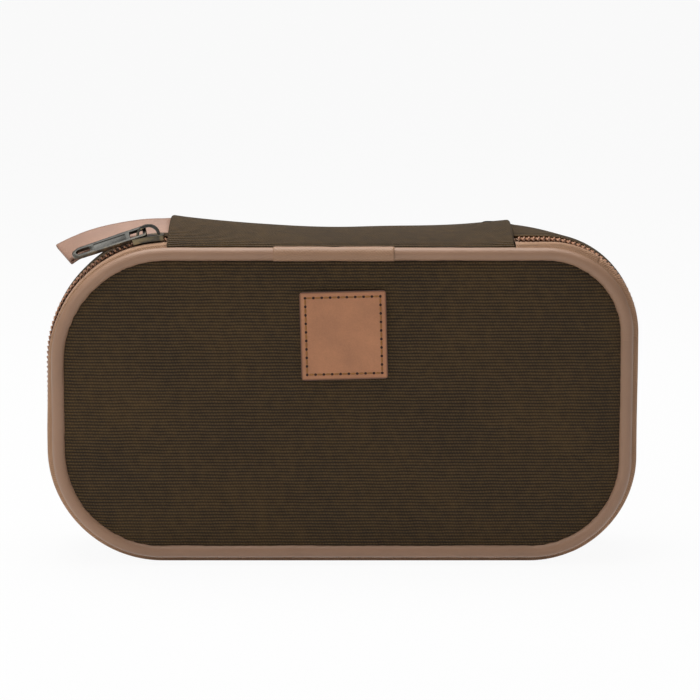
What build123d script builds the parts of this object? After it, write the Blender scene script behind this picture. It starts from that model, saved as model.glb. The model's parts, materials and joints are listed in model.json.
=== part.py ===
"""Zip-around canvas cosmetic bag with a hinged front lid.

The bag stands on the bottom of its gusset, with its lid towards -Y and its hinge along the top.
X runs across the bag, Y runs from the lid to the back panel and Z is up. The origin is on the
surface that the bag stands on, under the middle of the bag. All lengths are in millimetres.
"""

import math
import os

from build123d import *

# Outline of the lid, over the outside of its piping
LID_WIDTH = 235.0
LID_HEIGHT = 127.5
RADIUS_TOP_RIGHT = 35.5
RADIUS_TOP_LEFT = 47.0
RADIUS_BOTTOM_LEFT = 44.0
RADIUS_BOTTOM_RIGHT = 41.0
BACK_RADIUS = 54.0
BACK_TURN = 0.8

# Depths, from the front of the piping to the crown of the back
DEPTH = 59.0
TAPE_SHOWN = 4.2
CHAIN_WIDTH = 7.5
REAR_TAPE_SHOWN = 4.1

# Cloth, foam and leatherette
CANVAS = 1.2
GUSSET_FOAM = 2.0
PANEL_FOAM = 2.6
LINING = 0.6
LAYER_GAP = 0.1
PIPING_RADIUS = 2.7
CORD_RADIUS = 1.9
PIPING_SIDES = 20
CORD_SIDES = 8
LEATHERETTE = 0.7
SEAM_ALLOWANCE = 9.0
PANEL_GAP = 0.6
TAPE = 0.6
TAPE_TUCK = 4.0
TAPE_ROLL_RISE = 1.1
TAPE_ROLL_CREST = 0.5
TAPE_ROLL_FALL = 1.2
BINDING = 0.6
BINDING_WIDTH = 5.0

# How far the walls stand out from the lid's outline
GUSSET_BULGE = 2.8
BACK_SEAM_BULGE = 2.4
TAPE_BULGE = 1.2
COIL_HEIGHT = 1.5
COIL_SEAT = 0.05

# Crown of the two padded panels
LID_CROWN = 1.7
BACK_CROWN = 3.4
CROWN_RUN = 18.0
CROWN_STEPS = 3

# Hinge gusset, the canvas strip along the top
HINGE_LEFT = -70.5
HINGE_RIGHT = 69.5
HINGE_GAP = 0.3
HINGE_FRONT_GAP = 1.0
HINGE_FRONT_DROP = 0.2
HINGE_BELOW = 1.4
HINGE_CREST_Y = 2.0
HINGE_CREST_LEFT = 8.2
HINGE_CREST_MIDDLE = 3.2
HINGE_CREST_RIGHT = 5.6
HINGE_REAR_LEFT = 4.9
HINGE_REAR_MIDDLE = 1.8
HINGE_REAR_RIGHT = 4.6

# Zip teeth
TOOTH_PITCH = 2.0
TOOTH_WIDTH = 0.62
TOOTH_REACH = 0.9
COIL_BAND = 2.3
ZIP_END_ANGLE = 18.0
ZIP_END_RIGHT = 16.0
ZIP_END_SETBACK = 1.9

# Slider, on the top left corner
SLIDER_ANGLE = 8.9
SLIDER_LENGTH = 12.4
SLIDER_WIDTH = 10.4
SLIDER_TAIL_WIDTH = 9.4
SLIDER_PLATE = 1.0
SLIDER_CLEARANCE = 0.3
FLANGE = 0.9
FLANGE_DEPTH = 1.1
BRIDGE_LENGTH = 9.6
BRIDGE_WIDTH = 3.0
BRIDGE_OPENING = 3.4
BRIDGE_WALL = 1.0

# Pull tab
PULL_LENGTH = 31.0
PULL_WIDTH = 7.0
PULL_END_WIDTH = 6.0
PULL_THICKNESS = 1.5
PULL_RECESS = 0.35
PULL_RIM = 1.1
PULL_BAR = 1.4
PULL_BAR_PLACE = 1.2
PULL_FORK_LENGTH = 7.0
PULL_EYE_LENGTH = 6.6
PULL_EYE_WIDTH = 3.0
PULL_DROOP = 10.5

# Wrist strap, a flat folded loop of leather
STRAP_WIDTH = 14.0
STRAP_LEATHER = 1.0
STRAP_LAYER_GAP = 0.3
STRAP_LENGTH = 46.0
STRAP_BEND_RADIUS = 85.0
STRAP_ROLL = 22.0
STRAP_TURN = 8.0
STRAP_Y = 3.5
STRAP_LIFT = 7.0

# Badge
BADGE_WIDTH = 35.0
BADGE_HEIGHT = 36.0
BADGE_RADIUS = 1.6
BADGE_THICKNESS = 1.2
BADGE_X = 0.7
BADGE_ABOVE_MIDDLE = 28.5
BADGE_TURN = 1.5

# Piping join, the wrap over the meeting ends of the piping
JOIN_LEFT = -27.5
JOIN_RIGHT = 21.0
JOIN_WALL = 0.4
JOIN_GAP = 0.02

FRONT_RADII = (RADIUS_TOP_RIGHT, RADIUS_TOP_LEFT, RADIUS_BOTTOM_LEFT, RADIUS_BOTTOM_RIGHT)
BACK_RADII = (BACK_RADIUS, BACK_RADIUS, BACK_RADIUS, BACK_RADIUS)
CORNER_SIGNS = ((1, 1), (-1, 1), (-1, -1), (1, -1))

MIDDLE_Z = LID_HEIGHT / 2 + GUSSET_BULGE
TOP_Z = MIDDLE_Z + LID_HEIGHT / 2
PIPING_Y = -DEPTH / 2 + PIPING_RADIUS
TAIL_Y = PIPING_Y + PIPING_RADIUS - LEATHERETTE
SEAM_Y = TAIL_Y + LEATHERETTE + LAYER_GAP
TAPE_START_Y = SEAM_Y + TAPE
CHAIN_Y = TAPE_START_Y + TAPE_SHOWN + CHAIN_WIDTH / 2
GUSSET_START_Y = CHAIN_Y + CHAIN_WIDTH / 2 + REAR_TAPE_SHOWN
BACK_SEAM_Y = DEPTH / 2 - BACK_CROWN
COIL_BASE = TAPE_BULGE + COIL_SEAT
COIL_TOP = COIL_BASE + COIL_HEIGHT
LID_CANVAS_Y = PIPING_Y - CANVAS / 2
PANEL_EDGE = 2 * PIPING_RADIUS + PANEL_GAP
LID_LINING_Y = TAIL_Y - LAYER_GAP - LINING
HINGE_START_Y = PIPING_Y + PIPING_RADIUS + HINGE_FRONT_GAP


def corner_centres(radii=FRONT_RADII):
    """Centres of the outline's four corners as (x, z), anticlockwise from the top right."""
    centres = []
    for (sign_x, sign_z), radius in zip(CORNER_SIGNS, radii):
        x = sign_x * (LID_WIDTH / 2 - radius)
        z = MIDDLE_Z + sign_z * (LID_HEIGHT / 2 - radius)
        centres.append((x, z))
    return centres


def outline(y, offset, radii):
    """The rounded outline as a wire at depth y, offset outwards from the lid's outline."""
    arcs = []
    for index, ((x, z), radius) in enumerate(zip(corner_centres(radii), radii)):
        points = []
        for share in (0.0, 0.5, 1.0):
            angle = math.radians(90 * (index + share))
            reach = radius + offset
            points.append((x + reach * math.cos(angle), y, z + reach * math.sin(angle)))
        arcs.append(points)
    edges = []
    for index, points in enumerate(arcs):
        edges.append(Edge.make_three_point_arc(*points))
        edges.append(Edge.make_line(points[-1], arcs[(index + 1) % 4][0]))
    return Wire(edges)


def block(sections):
    """A solid through outlines given as (y, offset, radii)."""
    return Solid.make_loft([outline(*section) for section in sections], ruled=True)


def straight_length(index):
    """Length of the straight side that follows a corner."""
    following = (index + 1) % 4
    side = LID_HEIGHT if index % 2 else LID_WIDTH
    return side - FRONT_RADII[index] - FRONT_RADII[following]


def carried_round(make_face):
    """A solid from a face that is carried once round the lid's outline.

    make_face(x, z) gives the face at the start of a corner, for a centre line through x and z.
    """
    pieces = []
    for index, ((x, z), radius) in enumerate(zip(corner_centres(), FRONT_RADII)):
        axis = Axis((x, 0, z), (0, -1, 0))
        face = make_face(x + radius, z)
        pieces.append(revolve(face.rotate(axis, 90 * index), axis, 90))
        angle = math.radians(90 * (index + 1))
        along = (-math.sin(angle), 0, math.cos(angle))
        side = face.rotate(axis, 90 * (index + 1))
        pieces.append(extrude(side, amount=straight_length(index), dir=along))
    return pieces[0].fuse(*pieces[1:]).clean()


def ring(profile):
    """A closed profile of (offset, y) points, carried round the outline."""

    def face_at(x, z):
        return make_face(Polyline(*[(x + offset, y, z) for offset, y in profile], close=True))

    return carried_round(face_at)


def band_ring(low_offset, high_offset, low_y, high_y):
    """A ring of rectangular section."""
    corners = [(low_offset, low_y), (high_offset, low_y), (high_offset, high_y), (low_offset, high_y)]
    return ring(corners)


def round_ring(radius, sides):
    """A cord of many-sided section along the middle of the piping."""

    def face_at(x, z):
        plane = Plane(origin=(x - PIPING_RADIUS, PIPING_Y, z), x_dir=(1, 0, 0), z_dir=(0, 0, 1))
        return plane * RegularPolygon(radius, sides, rotation=180 / sides)

    return carried_round(face_at)


def box_between(low, high):
    """A box from its lowest to its highest corner."""
    size = [b - a for a, b in zip(low, high)]
    return Pos(*low) * Box(*size, align=(Align.MIN, Align.MIN, Align.MIN))


def top_box(left, right):
    """All of the bag's top between two places across it."""
    return box_between((left, -DEPTH, MIDDLE_Z + 5), (right, DEPTH, TOP_Z + 50))


def hinge_box():
    return top_box(HINGE_LEFT - HINGE_GAP, HINGE_RIGHT + HINGE_GAP)


def zip_ends(margin):
    """The part of the top in which the front tape and coil stay with the bag."""
    reach = (RADIUS_TOP_LEFT + COIL_BASE) * math.sin(math.radians(ZIP_END_ANGLE))
    left = -LID_WIDTH / 2 + RADIUS_TOP_LEFT - reach
    return top_box(left - margin, HINGE_RIGHT + ZIP_END_RIGHT + margin)


def crown(seam_y, edge, rise, radii):
    """Outlines of a padded panel that swells by rise from its seam towards its middle."""
    sections = []
    for step in range(CROWN_STEPS + 1):
        angle = math.pi / 2 * step / CROWN_STEPS
        offset = edge - CROWN_RUN * (1 - math.cos(angle))
        sections.append((seam_y + rise * math.sin(angle), offset, radii))
    return sections


def shifted(sections, by_y, by_offset):
    return [(y + by_y, offset + by_offset, radii) for y, offset, radii in sections]


def lid_panel():
    outer = crown(LID_CANVAS_Y, -PANEL_EDGE, -LID_CROWN, FRONT_RADII)
    back = (LID_CANVAS_Y + CANVAS, -PANEL_EDGE, FRONT_RADII)
    inner = shifted(outer, CANVAS, -2 * LAYER_GAP)
    rim = (LID_CANVAS_Y + 2 * CANVAS, inner[0][1], FRONT_RADII)
    return block([back] + outer) - block([rim] + inner)


def lid_padding():
    edge = -PANEL_EDGE - 4 * LAYER_GAP
    outer = crown(LID_CANVAS_Y + CANVAS + LAYER_GAP, edge, -LID_CROWN, FRONT_RADII)
    back = (LID_LINING_Y - LAYER_GAP, edge, FRONT_RADII)
    return block([back] + outer)


def lid_lining():
    ends = (LID_LINING_Y, LID_LINING_Y + LINING)
    return block([(y, -PANEL_EDGE, FRONT_RADII) for y in ends])


def piping_cover():
    """Leatherette round the cord, with the tail that is caught in the lid's seam."""
    skin = round_ring(PIPING_RADIUS, PIPING_SIDES)
    tail_root = -PIPING_RADIUS * 4 / 3
    tail = band_ring(-SEAM_ALLOWANCE, tail_root, TAIL_Y, TAIL_Y + LEATHERETTE)
    return skin.fuse(tail) - round_ring(CORD_RADIUS + LAYER_GAP, CORD_SIDES)


def piping_join():
    """Second layer of leatherette, wrapped over the piping in the middle of the top."""
    length = JOIN_RIGHT - JOIN_LEFT
    inner = PIPING_RADIUS + JOIN_GAP
    place = Pos((JOIN_LEFT + JOIN_RIGHT) / 2, PIPING_Y, TOP_Z - PIPING_RADIUS) * Rot(0, 90, 0)
    sleeve = place * Cylinder(inner + JOIN_WALL, length) - place * Cylinder(inner, length + 2)
    low = (JOIN_LEFT - 1, PIPING_Y + CORD_RADIUS / 2, TOP_Z - 4 * PIPING_RADIUS)
    high = (JOIN_RIGHT + 1, PIPING_Y + 3 * PIPING_RADIUS, TOP_Z - PIPING_RADIUS)
    return sleeve - box_between(low, high)


def lid_binding():
    """Tape folded over the raw edges of the lid's seam, inside the bag."""
    back = TAPE_START_Y + LAYER_GAP
    edge = -SEAM_ALLOWANCE - LAYER_GAP
    profile = [
        (edge - BINDING, TAIL_Y),
        (edge, TAIL_Y),
        (edge, back),
        (edge + BINDING_WIDTH, back),
        (edge + BINDING_WIDTH, back + BINDING),
        (edge - BINDING, back + BINDING),
    ]
    return ring(profile)


def front_tape():
    """Front tape of the zip: turned in behind the piping, rolled out to the floor, back to the coil."""
    end = CHAIN_Y - CHAIN_WIDTH / 2 + COIL_BAND
    crest_start = SEAM_Y + TAPE_ROLL_RISE
    crest_end = crest_start + TAPE_ROLL_CREST
    foot = crest_end + TAPE_ROLL_FALL
    profile = [
        (-SEAM_ALLOWANCE, SEAM_Y),
        (TAPE_BULGE - TAPE, SEAM_Y),
        (GUSSET_BULGE, crest_start),
        (GUSSET_BULGE, crest_end),
        (TAPE_BULGE, foot),
        (TAPE_BULGE, end),
        (TAPE_BULGE - TAPE, end),
        (TAPE_BULGE - TAPE, foot - TAPE / 2),
        (GUSSET_BULGE - TAPE, (crest_start + crest_end) / 2),
        (TAPE_BULGE - TAPE - LAYER_GAP, TAPE_START_Y),
        (-SEAM_ALLOWANCE, TAPE_START_Y),
    ]
    return ring(profile) - hinge_box()


def zip_end_tapes():
    """The front tape's two ends beside the hinge, which start behind the folding seam."""
    seam = HINGE_START_Y + ZIP_END_SETBACK
    walls = box_between((-LID_WIDTH, seam, MIDDLE_Z), (LID_WIDTH, DEPTH, 2 * LID_HEIGHT))
    return front_tape() & zip_ends(0) & walls


def rear_zip_tape():
    start = CHAIN_Y + CHAIN_WIDTH / 2 - COIL_BAND
    end = GUSSET_START_Y + TAPE_TUCK
    return band_ring(TAPE_BULGE - TAPE, TAPE_BULGE, start, end) - hinge_box()


def track_places(offset):
    """Places a tooth's pitch apart along the zip, as (x, z, angle), from the top left corner on."""
    centres = corner_centres()
    places = []
    left = TOOTH_PITCH / 2
    for index in (1, 2, 3, 0):
        x, z = centres[index]
        radius = FRONT_RADII[index] + offset
        start = math.radians(90 * index)
        while left < math.pi / 2 * radius:
            angle = start + left / radius
            point = (x + radius * math.cos(angle), z + radius * math.sin(angle))
            places.append((*point, math.degrees(angle)))
            left += TOOTH_PITCH
        left -= math.pi / 2 * radius
        end = start + math.pi / 2
        length = straight_length(index) if index else 0
        while left < length:
            point_x = x + radius * math.cos(end) - left * math.sin(end)
            point_z = z + radius * math.sin(end) + left * math.cos(end)
            places.append((point_x, point_z, math.degrees(end)))
            left += TOOTH_PITCH
        left -= length
    return places


def coil(side, inside, outside):
    """One half of the zip: the coil's back on its tape, with teeth past the chain's middle."""
    back = CHAIN_Y + side * CHAIN_WIDTH / 2
    face = back - side * COIL_BAND
    root = face + side * COIL_BAND / 2
    tip = CHAIN_Y - side * TOOTH_REACH
    band = band_ring(COIL_BASE, COIL_TOP, min(back, face), max(back, face)) - outside
    if inside:
        band = band & inside
    tooth = Box(COIL_HEIGHT, abs(tip - root), TOOTH_WIDTH)
    teeth = []
    for x, z, angle in track_places((COIL_BASE + COIL_TOP) / 2):
        step = Pos(0, 0, side * TOOTH_PITCH / 4)
        moved = Pos(x, (tip + root) / 2, z) * Rot(0, -angle, 0) * step * tooth
        cut = moved - outside
        if cut and inside:
            cut = cut & inside
        if cut and abs(cut.volume - tooth.volume) < 0.001:
            teeth.append(moved)
    return band.fuse(*teeth)


def gusset_sections(inset):
    """Outlines of the gusset's wall, level up to where the back starts to draw in."""
    radii = tuple(a + BACK_TURN * (b - a) for a, b in zip(FRONT_RADII, BACK_RADII))
    tuck_y = GUSSET_START_Y + TAPE_TUCK
    turn_y = tuck_y + BACK_TURN * (BACK_SEAM_Y - tuck_y)
    return [
        (GUSSET_START_Y, GUSSET_BULGE - inset, FRONT_RADII),
        (tuck_y, GUSSET_BULGE - inset, FRONT_RADII),
        (turn_y, GUSSET_BULGE - inset, radii),
        (BACK_SEAM_Y, BACK_SEAM_BULGE - inset, BACK_RADII),
    ]


def gusset_wall(inset, thickness, start_y):
    """One layer of the gusset, without the stretch that the hinge gusset takes."""
    layer = block(gusset_sections(inset)) - block(gusset_sections(inset + thickness)) - hinge_box()
    if start_y > GUSSET_START_Y:
        layer = layer - box_between((-LID_WIDTH, -DEPTH, -LID_HEIGHT), (LID_WIDTH, start_y, 2 * LID_HEIGHT))
    return layer


def gusset_padding():
    start = GUSSET_START_Y + TAPE_TUCK + LAYER_GAP
    return gusset_wall(CANVAS + LAYER_GAP, GUSSET_FOAM, start)


def gusset_lining():
    start = GUSSET_START_Y + TAPE_TUCK + LAYER_GAP
    return gusset_wall(CANVAS + GUSSET_FOAM + 2 * LAYER_GAP, LINING, start)


def back_panel():
    outer = crown(BACK_SEAM_Y, BACK_SEAM_BULGE, BACK_CROWN, BACK_RADII)
    inner = shifted(outer, -CANVAS, -CANVAS)
    inner = [(BACK_SEAM_Y, inner[0][1], BACK_RADII)] + inner[1:]
    rim = (BACK_SEAM_Y - CANVAS, inner[0][1], BACK_RADII)
    return block(outer) - block([rim] + inner)


def back_padding():
    edge = BACK_SEAM_BULGE - CANVAS - GUSSET_FOAM - LINING - 4 * LAYER_GAP
    lowest = BACK_SEAM_Y + BACK_CROWN - CANVAS - LAYER_GAP - PANEL_FOAM
    outer = crown(BACK_SEAM_Y - CANVAS - LAYER_GAP, edge, BACK_CROWN, BACK_RADII)
    return block([(lowest - LAYER_GAP, edge, BACK_RADII)] + outer[1:])


def back_lining():
    edge = BACK_SEAM_BULGE - CANVAS - GUSSET_FOAM - LINING - 4 * LAYER_GAP
    top = BACK_SEAM_Y + BACK_CROWN - CANVAS - 3 * LAYER_GAP - PANEL_FOAM
    return block([(top - LINING, edge, BACK_RADII), (top, edge, BACK_RADII)])


def hinge_gusset():
    """The canvas strip over the hinge, arched from the lid's seam to the back seam."""
    stations = (
        (HINGE_LEFT, HINGE_CREST_LEFT, HINGE_REAR_LEFT),
        ((HINGE_LEFT + HINGE_RIGHT) / 2, HINGE_CREST_MIDDLE, HINGE_REAR_MIDDLE),
        (HINGE_RIGHT, HINGE_CREST_RIGHT, HINGE_REAR_RIGHT),
    )
    low = TOP_Z - HINGE_BELOW
    end_y = BACK_SEAM_Y - LAYER_GAP
    faces = []
    for x, crest, rear in stations:
        front_point = (x, HINGE_START_Y, TOP_Z - HINGE_FRONT_DROP)
        crest_point = (x, HINGE_CREST_Y, TOP_Z + crest)
        rear_point = (x, end_y, TOP_Z + rear)
        arc = ThreePointArc(front_point, crest_point, rear_point)
        sides = Polyline(rear_point, (x, end_y, low), (x, HINGE_START_Y, low), front_point)
        faces.append(make_face([arc.edge(), *sides.edges()]))
    return loft(faces)


def hinge_lining():
    top = TOP_Z - HINGE_BELOW - LAYER_GAP
    start = TAPE_START_Y + 2 * BINDING + 2 * LAYER_GAP
    end = BACK_SEAM_Y + BACK_CROWN - CANVAS - 4 * LAYER_GAP - PANEL_FOAM - LINING
    return box_between((HINGE_LEFT, start, top - LINING), (HINGE_RIGHT, end, top))


def corner_axis():
    x, z = corner_centres()[1]
    return Axis((x, 0, z), (0, -1, 0))


def on_corner(angle, offset, y):
    """Place on the top left corner, with X down the track, Y to the back and Z outwards."""
    x, z = corner_centres()[1]
    turned = Pos(x, y, z) * Rot(0, -angle, 0) * Pos(0, 0, RADIUS_TOP_LEFT + offset)
    return turned * Rot(0, 0, 180)


def corner_arc(profile):
    """A profile of (offset, y) points, carried along the slider's length on the corner."""
    x, z = corner_centres()[1]
    points = [(x, y, z + RADIUS_TOP_LEFT + offset) for offset, y in profile]
    face = make_face(Polyline(*points, close=True))
    span = math.degrees(SLIDER_LENGTH / (RADIUS_TOP_LEFT + COIL_TOP))
    start = SLIDER_ANGLE - span / 2
    return revolve(face.rotate(corner_axis(), start), corner_axis(), span)


def slider_plan(width, tail_width):
    """The slider's plan as an upright prism: broad shoulders above and a narrower tail below."""
    half = SLIDER_LENGTH / 2
    points = [
        (-half - 1, -width * 0.36),
        (-half + 1.6, -width / 2),
        (0, -width / 2),
        (half + 1, -tail_width / 2),
        (half + 1, tail_width / 2),
        (0, width / 2),
        (-half + 1.6, width / 2),
        (-half - 1, width * 0.36),
    ]
    prism = extrude(make_face(Polyline(*points, close=True)), amount=12, both=True)
    return on_corner(SLIDER_ANGLE, 0, CHAIN_Y) * prism


def slider_body():
    """Upper shell of the slider, with its flanges and the arched bridge for the pull."""
    under = COIL_TOP + SLIDER_CLEARANCE
    top = under + SLIDER_PLATE
    half = SLIDER_WIDTH / 2
    profile = [
        (top, CHAIN_Y - half),
        (top, CHAIN_Y + half),
        (under - FLANGE_DEPTH, CHAIN_Y + half),
        (under - FLANGE_DEPTH, CHAIN_Y + half - FLANGE),
        (under, CHAIN_Y + half - FLANGE),
        (under, CHAIN_Y - half + FLANGE),
        (under - FLANGE_DEPTH, CHAIN_Y - half + FLANGE),
        (under - FLANGE_DEPTH, CHAIN_Y - half),
    ]
    shell = corner_arc(profile) & slider_plan(SLIDER_WIDTH, SLIDER_TAIL_WIDTH)
    height = BRIDGE_OPENING + BRIDGE_WALL
    outer = Plane.XZ * SlotOverall(BRIDGE_LENGTH, 2 * height)
    inner = Plane.XZ * SlotOverall(BRIDGE_LENGTH - 2 * BRIDGE_WALL, 2 * BRIDGE_OPENING)
    arch = extrude(outer - inner, amount=BRIDGE_WIDTH / 2, both=True)
    arch = arch & Pos(0, 0, height / 2 - SLIDER_PLATE / 4) * Box(
        2 * BRIDGE_LENGTH, 2 * BRIDGE_WIDTH, height + SLIDER_PLATE / 2
    )
    return shell.fuse(on_corner(SLIDER_ANGLE, top, CHAIN_Y) * arch)


def slider_base():
    """Lower plate of the slider, under the tapes."""
    top = TAPE_BULGE - TAPE - SLIDER_CLEARANCE
    half = SLIDER_WIDTH / 2
    profile = [
        (top, CHAIN_Y - half),
        (top, CHAIN_Y + half),
        (top - SLIDER_PLATE, CHAIN_Y + half),
        (top - SLIDER_PLATE, CHAIN_Y - half),
    ]
    return corner_arc(profile) & slider_plan(SLIDER_WIDTH, SLIDER_TAIL_WIDTH)


def pull_pivot():
    """Height of the pull's bar above the lid's outline, and its angle on the corner."""
    height = COIL_TOP + SLIDER_CLEARANCE + SLIDER_PLATE + BRIDGE_OPENING / 2
    angle = SLIDER_ANGLE + math.degrees(PULL_BAR_PLACE / (RADIUS_TOP_LEFT + height))
    return height, angle


def pull_tab():
    """Cast pull: a forked end round the bridge, a recessed middle and an eye at the far end."""
    height, angle = pull_pivot()
    half = PULL_WIDTH / 2
    end_half = PULL_END_WIDTH / 2
    back = PULL_BAR / 2
    points = [
        (-back, -half + 0.8),
        (-back + 0.8, -half),
        (PULL_FORK_LENGTH, -half),
        (PULL_LENGTH - end_half, -end_half),
        (PULL_LENGTH - 0.6, -end_half * 0.55),
        (PULL_LENGTH, 0),
        (PULL_LENGTH - 0.6, end_half * 0.55),
        (PULL_LENGTH - end_half, end_half),
        (PULL_FORK_LENGTH, half),
        (-back + 0.8, half),
        (-back, half - 0.8),
    ]
    plate = extrude(make_face(Polyline(*points, close=True)), amount=PULL_THICKNESS / 2, both=True)
    fork_inner = PULL_FORK_LENGTH - PULL_BAR / 2 - back
    fork = Pos(back + fork_inner / 2, 0, 0) * Box(fork_inner, BRIDGE_WIDTH + 1.2, 2 * PULL_THICKNESS)
    eye_place = PULL_LENGTH - PULL_EYE_LENGTH / 2 - PULL_RIM - 0.6
    eye = Pos(eye_place, 0, 0) * extrude(
        SlotOverall(PULL_EYE_LENGTH, PULL_EYE_WIDTH), amount=PULL_THICKNESS, both=True
    )
    recess_start = PULL_FORK_LENGTH + PULL_RIM
    recess_end = eye_place - PULL_EYE_LENGTH / 2 - PULL_RIM
    recess_length = recess_end - recess_start
    recess = Pos((recess_start + recess_end) / 2, 0, PULL_THICKNESS / 2) * Box(
        recess_length, PULL_END_WIDTH - 2 * PULL_RIM, 2 * PULL_RECESS
    )
    tab = plate - fork - eye - recess
    return on_corner(angle, height, CHAIN_Y) * Rot(0, PULL_DROOP, 0) * tab


def strap_loop():
    """Wrist strap: a band of leather folded back on itself, drooping from its sewn root."""
    layer = STRAP_LEATHER
    centre = STRAP_BEND_RADIUS
    half = layer + STRAP_LAYER_GAP / 2
    span = STRAP_LENGTH / STRAP_BEND_RADIUS

    def place(radius, share):
        angle = span * share
        return (-radius * math.sin(angle), radius * math.cos(angle) - centre)

    outer = centre + half
    inner = centre - half
    outer_gap = centre + STRAP_LAYER_GAP / 2
    inner_gap = centre - STRAP_LAYER_GAP / 2
    fold = (-centre * math.sin(span) - half * math.cos(span), centre * math.cos(span) - centre)
    fold = (fold[0], fold[1] - half * math.sin(span))
    edges = [
        ThreePointArc(place(outer, 0), place(outer, 0.5), place(outer, 1)),
        ThreePointArc(place(outer, 1), fold, place(inner, 1)),
        ThreePointArc(place(inner, 1), place(inner, 0.5), place(inner, 0)),
        ThreePointArc(place(inner, 0), (half, 0), place(outer, 0)),
    ]
    band = make_face([edge.edge() for edge in edges])
    gap_edges = [
        ThreePointArc(place(outer_gap, 0.12), place(outer_gap, 0.5), place(outer_gap, 0.96)),
        Line(place(outer_gap, 0.96), place(inner_gap, 0.96)),
        ThreePointArc(place(inner_gap, 0.96), place(inner_gap, 0.5), place(inner_gap, 0.12)),
        Line(place(inner_gap, 0.12), place(outer_gap, 0.12)),
    ]
    slit = make_face([edge.edge() for edge in gap_edges])
    loop = extrude(Plane.XZ * (band - slit), amount=STRAP_WIDTH / 2, both=True)
    return strap_root() * loop


def strap_root():
    """Place of the strap's root: it rolls its front edge down and turns towards the lid."""
    half = STRAP_LEATHER + STRAP_LAYER_GAP / 2
    x = HINGE_LEFT - HINGE_GAP - half - STRAP_WIDTH / 2 * math.sin(math.radians(STRAP_TURN))
    return Pos(x, STRAP_Y, TOP_Z + STRAP_LIFT) * Rot(STRAP_ROLL, 0, 0) * Rot(0, 0, STRAP_TURN)


def badge():
    """Leather patch sewn flat on the lid."""
    patch = extrude(RectangleRounded(BADGE_WIDTH, BADGE_HEIGHT, BADGE_RADIUS), amount=BADGE_THICKNESS)
    front = LID_CANVAS_Y - LID_CROWN
    place = Pos(BADGE_X, front, MIDDLE_Z + BADGE_ABOVE_MIDDLE) * Rot(90, 0, 0)
    return place * Rot(0, 0, BADGE_TURN) * patch


def sub_parts():
    beside_ends = zip_ends(HINGE_GAP)
    return {
        "lid_panel": lid_panel(),
        "lid_padding": lid_padding(),
        "lid_lining": lid_lining(),
        "lid_binding": lid_binding(),
        "piping_cover": piping_cover(),
        "piping_cord": round_ring(CORD_RADIUS, CORD_SIDES),
        "piping_join": piping_join(),
        "badge": badge(),
        "lid_zip_tape": front_tape() - beside_ends,
        "lid_zip_coil": coil(-1, None, beside_ends),
        "zip_end_tapes": zip_end_tapes(),
        "zip_end_coils": coil(-1, zip_ends(0), hinge_box()),
        "rear_zip_tape": rear_zip_tape(),
        "rear_zip_coil": coil(1, None, hinge_box()),
        "body_gusset": gusset_wall(0, CANVAS, GUSSET_START_Y),
        "gusset_padding": gusset_padding(),
        "gusset_lining": gusset_lining(),
        "hinge_gusset": hinge_gusset(),
        "hinge_lining": hinge_lining(),
        "back_panel": back_panel(),
        "back_padding": back_padding(),
        "back_lining": back_lining(),
        "slider_body": slider_body(),
        "slider_base": slider_base(),
        "pull_tab": pull_tab(),
        "strap_loop": strap_loop(),
    }


if __name__ == "__main__":
    os.makedirs("parts", exist_ok=True)
    for name, shape in sub_parts().items():
        export_step(shape, f"parts/{name}.step")
    pivot_height, pivot_angle = pull_pivot()
    corner_x, corner_z = corner_centres()[1]
    reach = RADIUS_TOP_LEFT + pivot_height
    pivot_x = corner_x - reach * math.sin(math.radians(pivot_angle))
    pivot_z = corner_z + reach * math.cos(math.radians(pivot_angle))
    print("lid hinge at y", HINGE_START_Y - HINGE_FRONT_GAP / 2, "z", TOP_Z - HINGE_FRONT_DROP * 4)
    print("corner centre", corner_x, corner_z)
    print("pull pivot", pivot_x, CHAIN_Y, pivot_z)
    print("strap root", (strap_root() * Pos(0, 0, 0)).position)
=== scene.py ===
"""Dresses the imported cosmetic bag: canvas, piping, zip, leather and hardware, with a plain studio."""

import json
import math

import bmesh
import bpy
from bpy.props import FloatProperty, FloatVectorProperty, IntProperty, PointerProperty
from mathutils import Matrix, Vector, noise


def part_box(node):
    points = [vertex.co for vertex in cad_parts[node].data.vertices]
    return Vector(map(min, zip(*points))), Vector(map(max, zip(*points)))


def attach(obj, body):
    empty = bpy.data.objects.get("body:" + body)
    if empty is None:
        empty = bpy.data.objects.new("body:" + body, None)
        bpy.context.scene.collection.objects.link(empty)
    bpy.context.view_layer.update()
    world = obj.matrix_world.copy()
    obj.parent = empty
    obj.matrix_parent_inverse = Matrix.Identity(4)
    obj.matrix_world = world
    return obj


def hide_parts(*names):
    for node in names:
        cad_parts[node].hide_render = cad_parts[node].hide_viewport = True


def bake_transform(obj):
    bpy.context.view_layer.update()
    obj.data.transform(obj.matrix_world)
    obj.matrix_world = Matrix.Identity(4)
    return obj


bl_info = {
    "name": "Canvas Cosmetic Bag",
    "version": (1, 0, 0),
    "blender": (4, 5, 0),
    "location": "View3D > Sidebar > Cosmetic Bag",
    "description": "Builds the soft goods, leather and metal of a zip-around cosmetic bag on its frame",
    "category": "Object",
}

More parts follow.
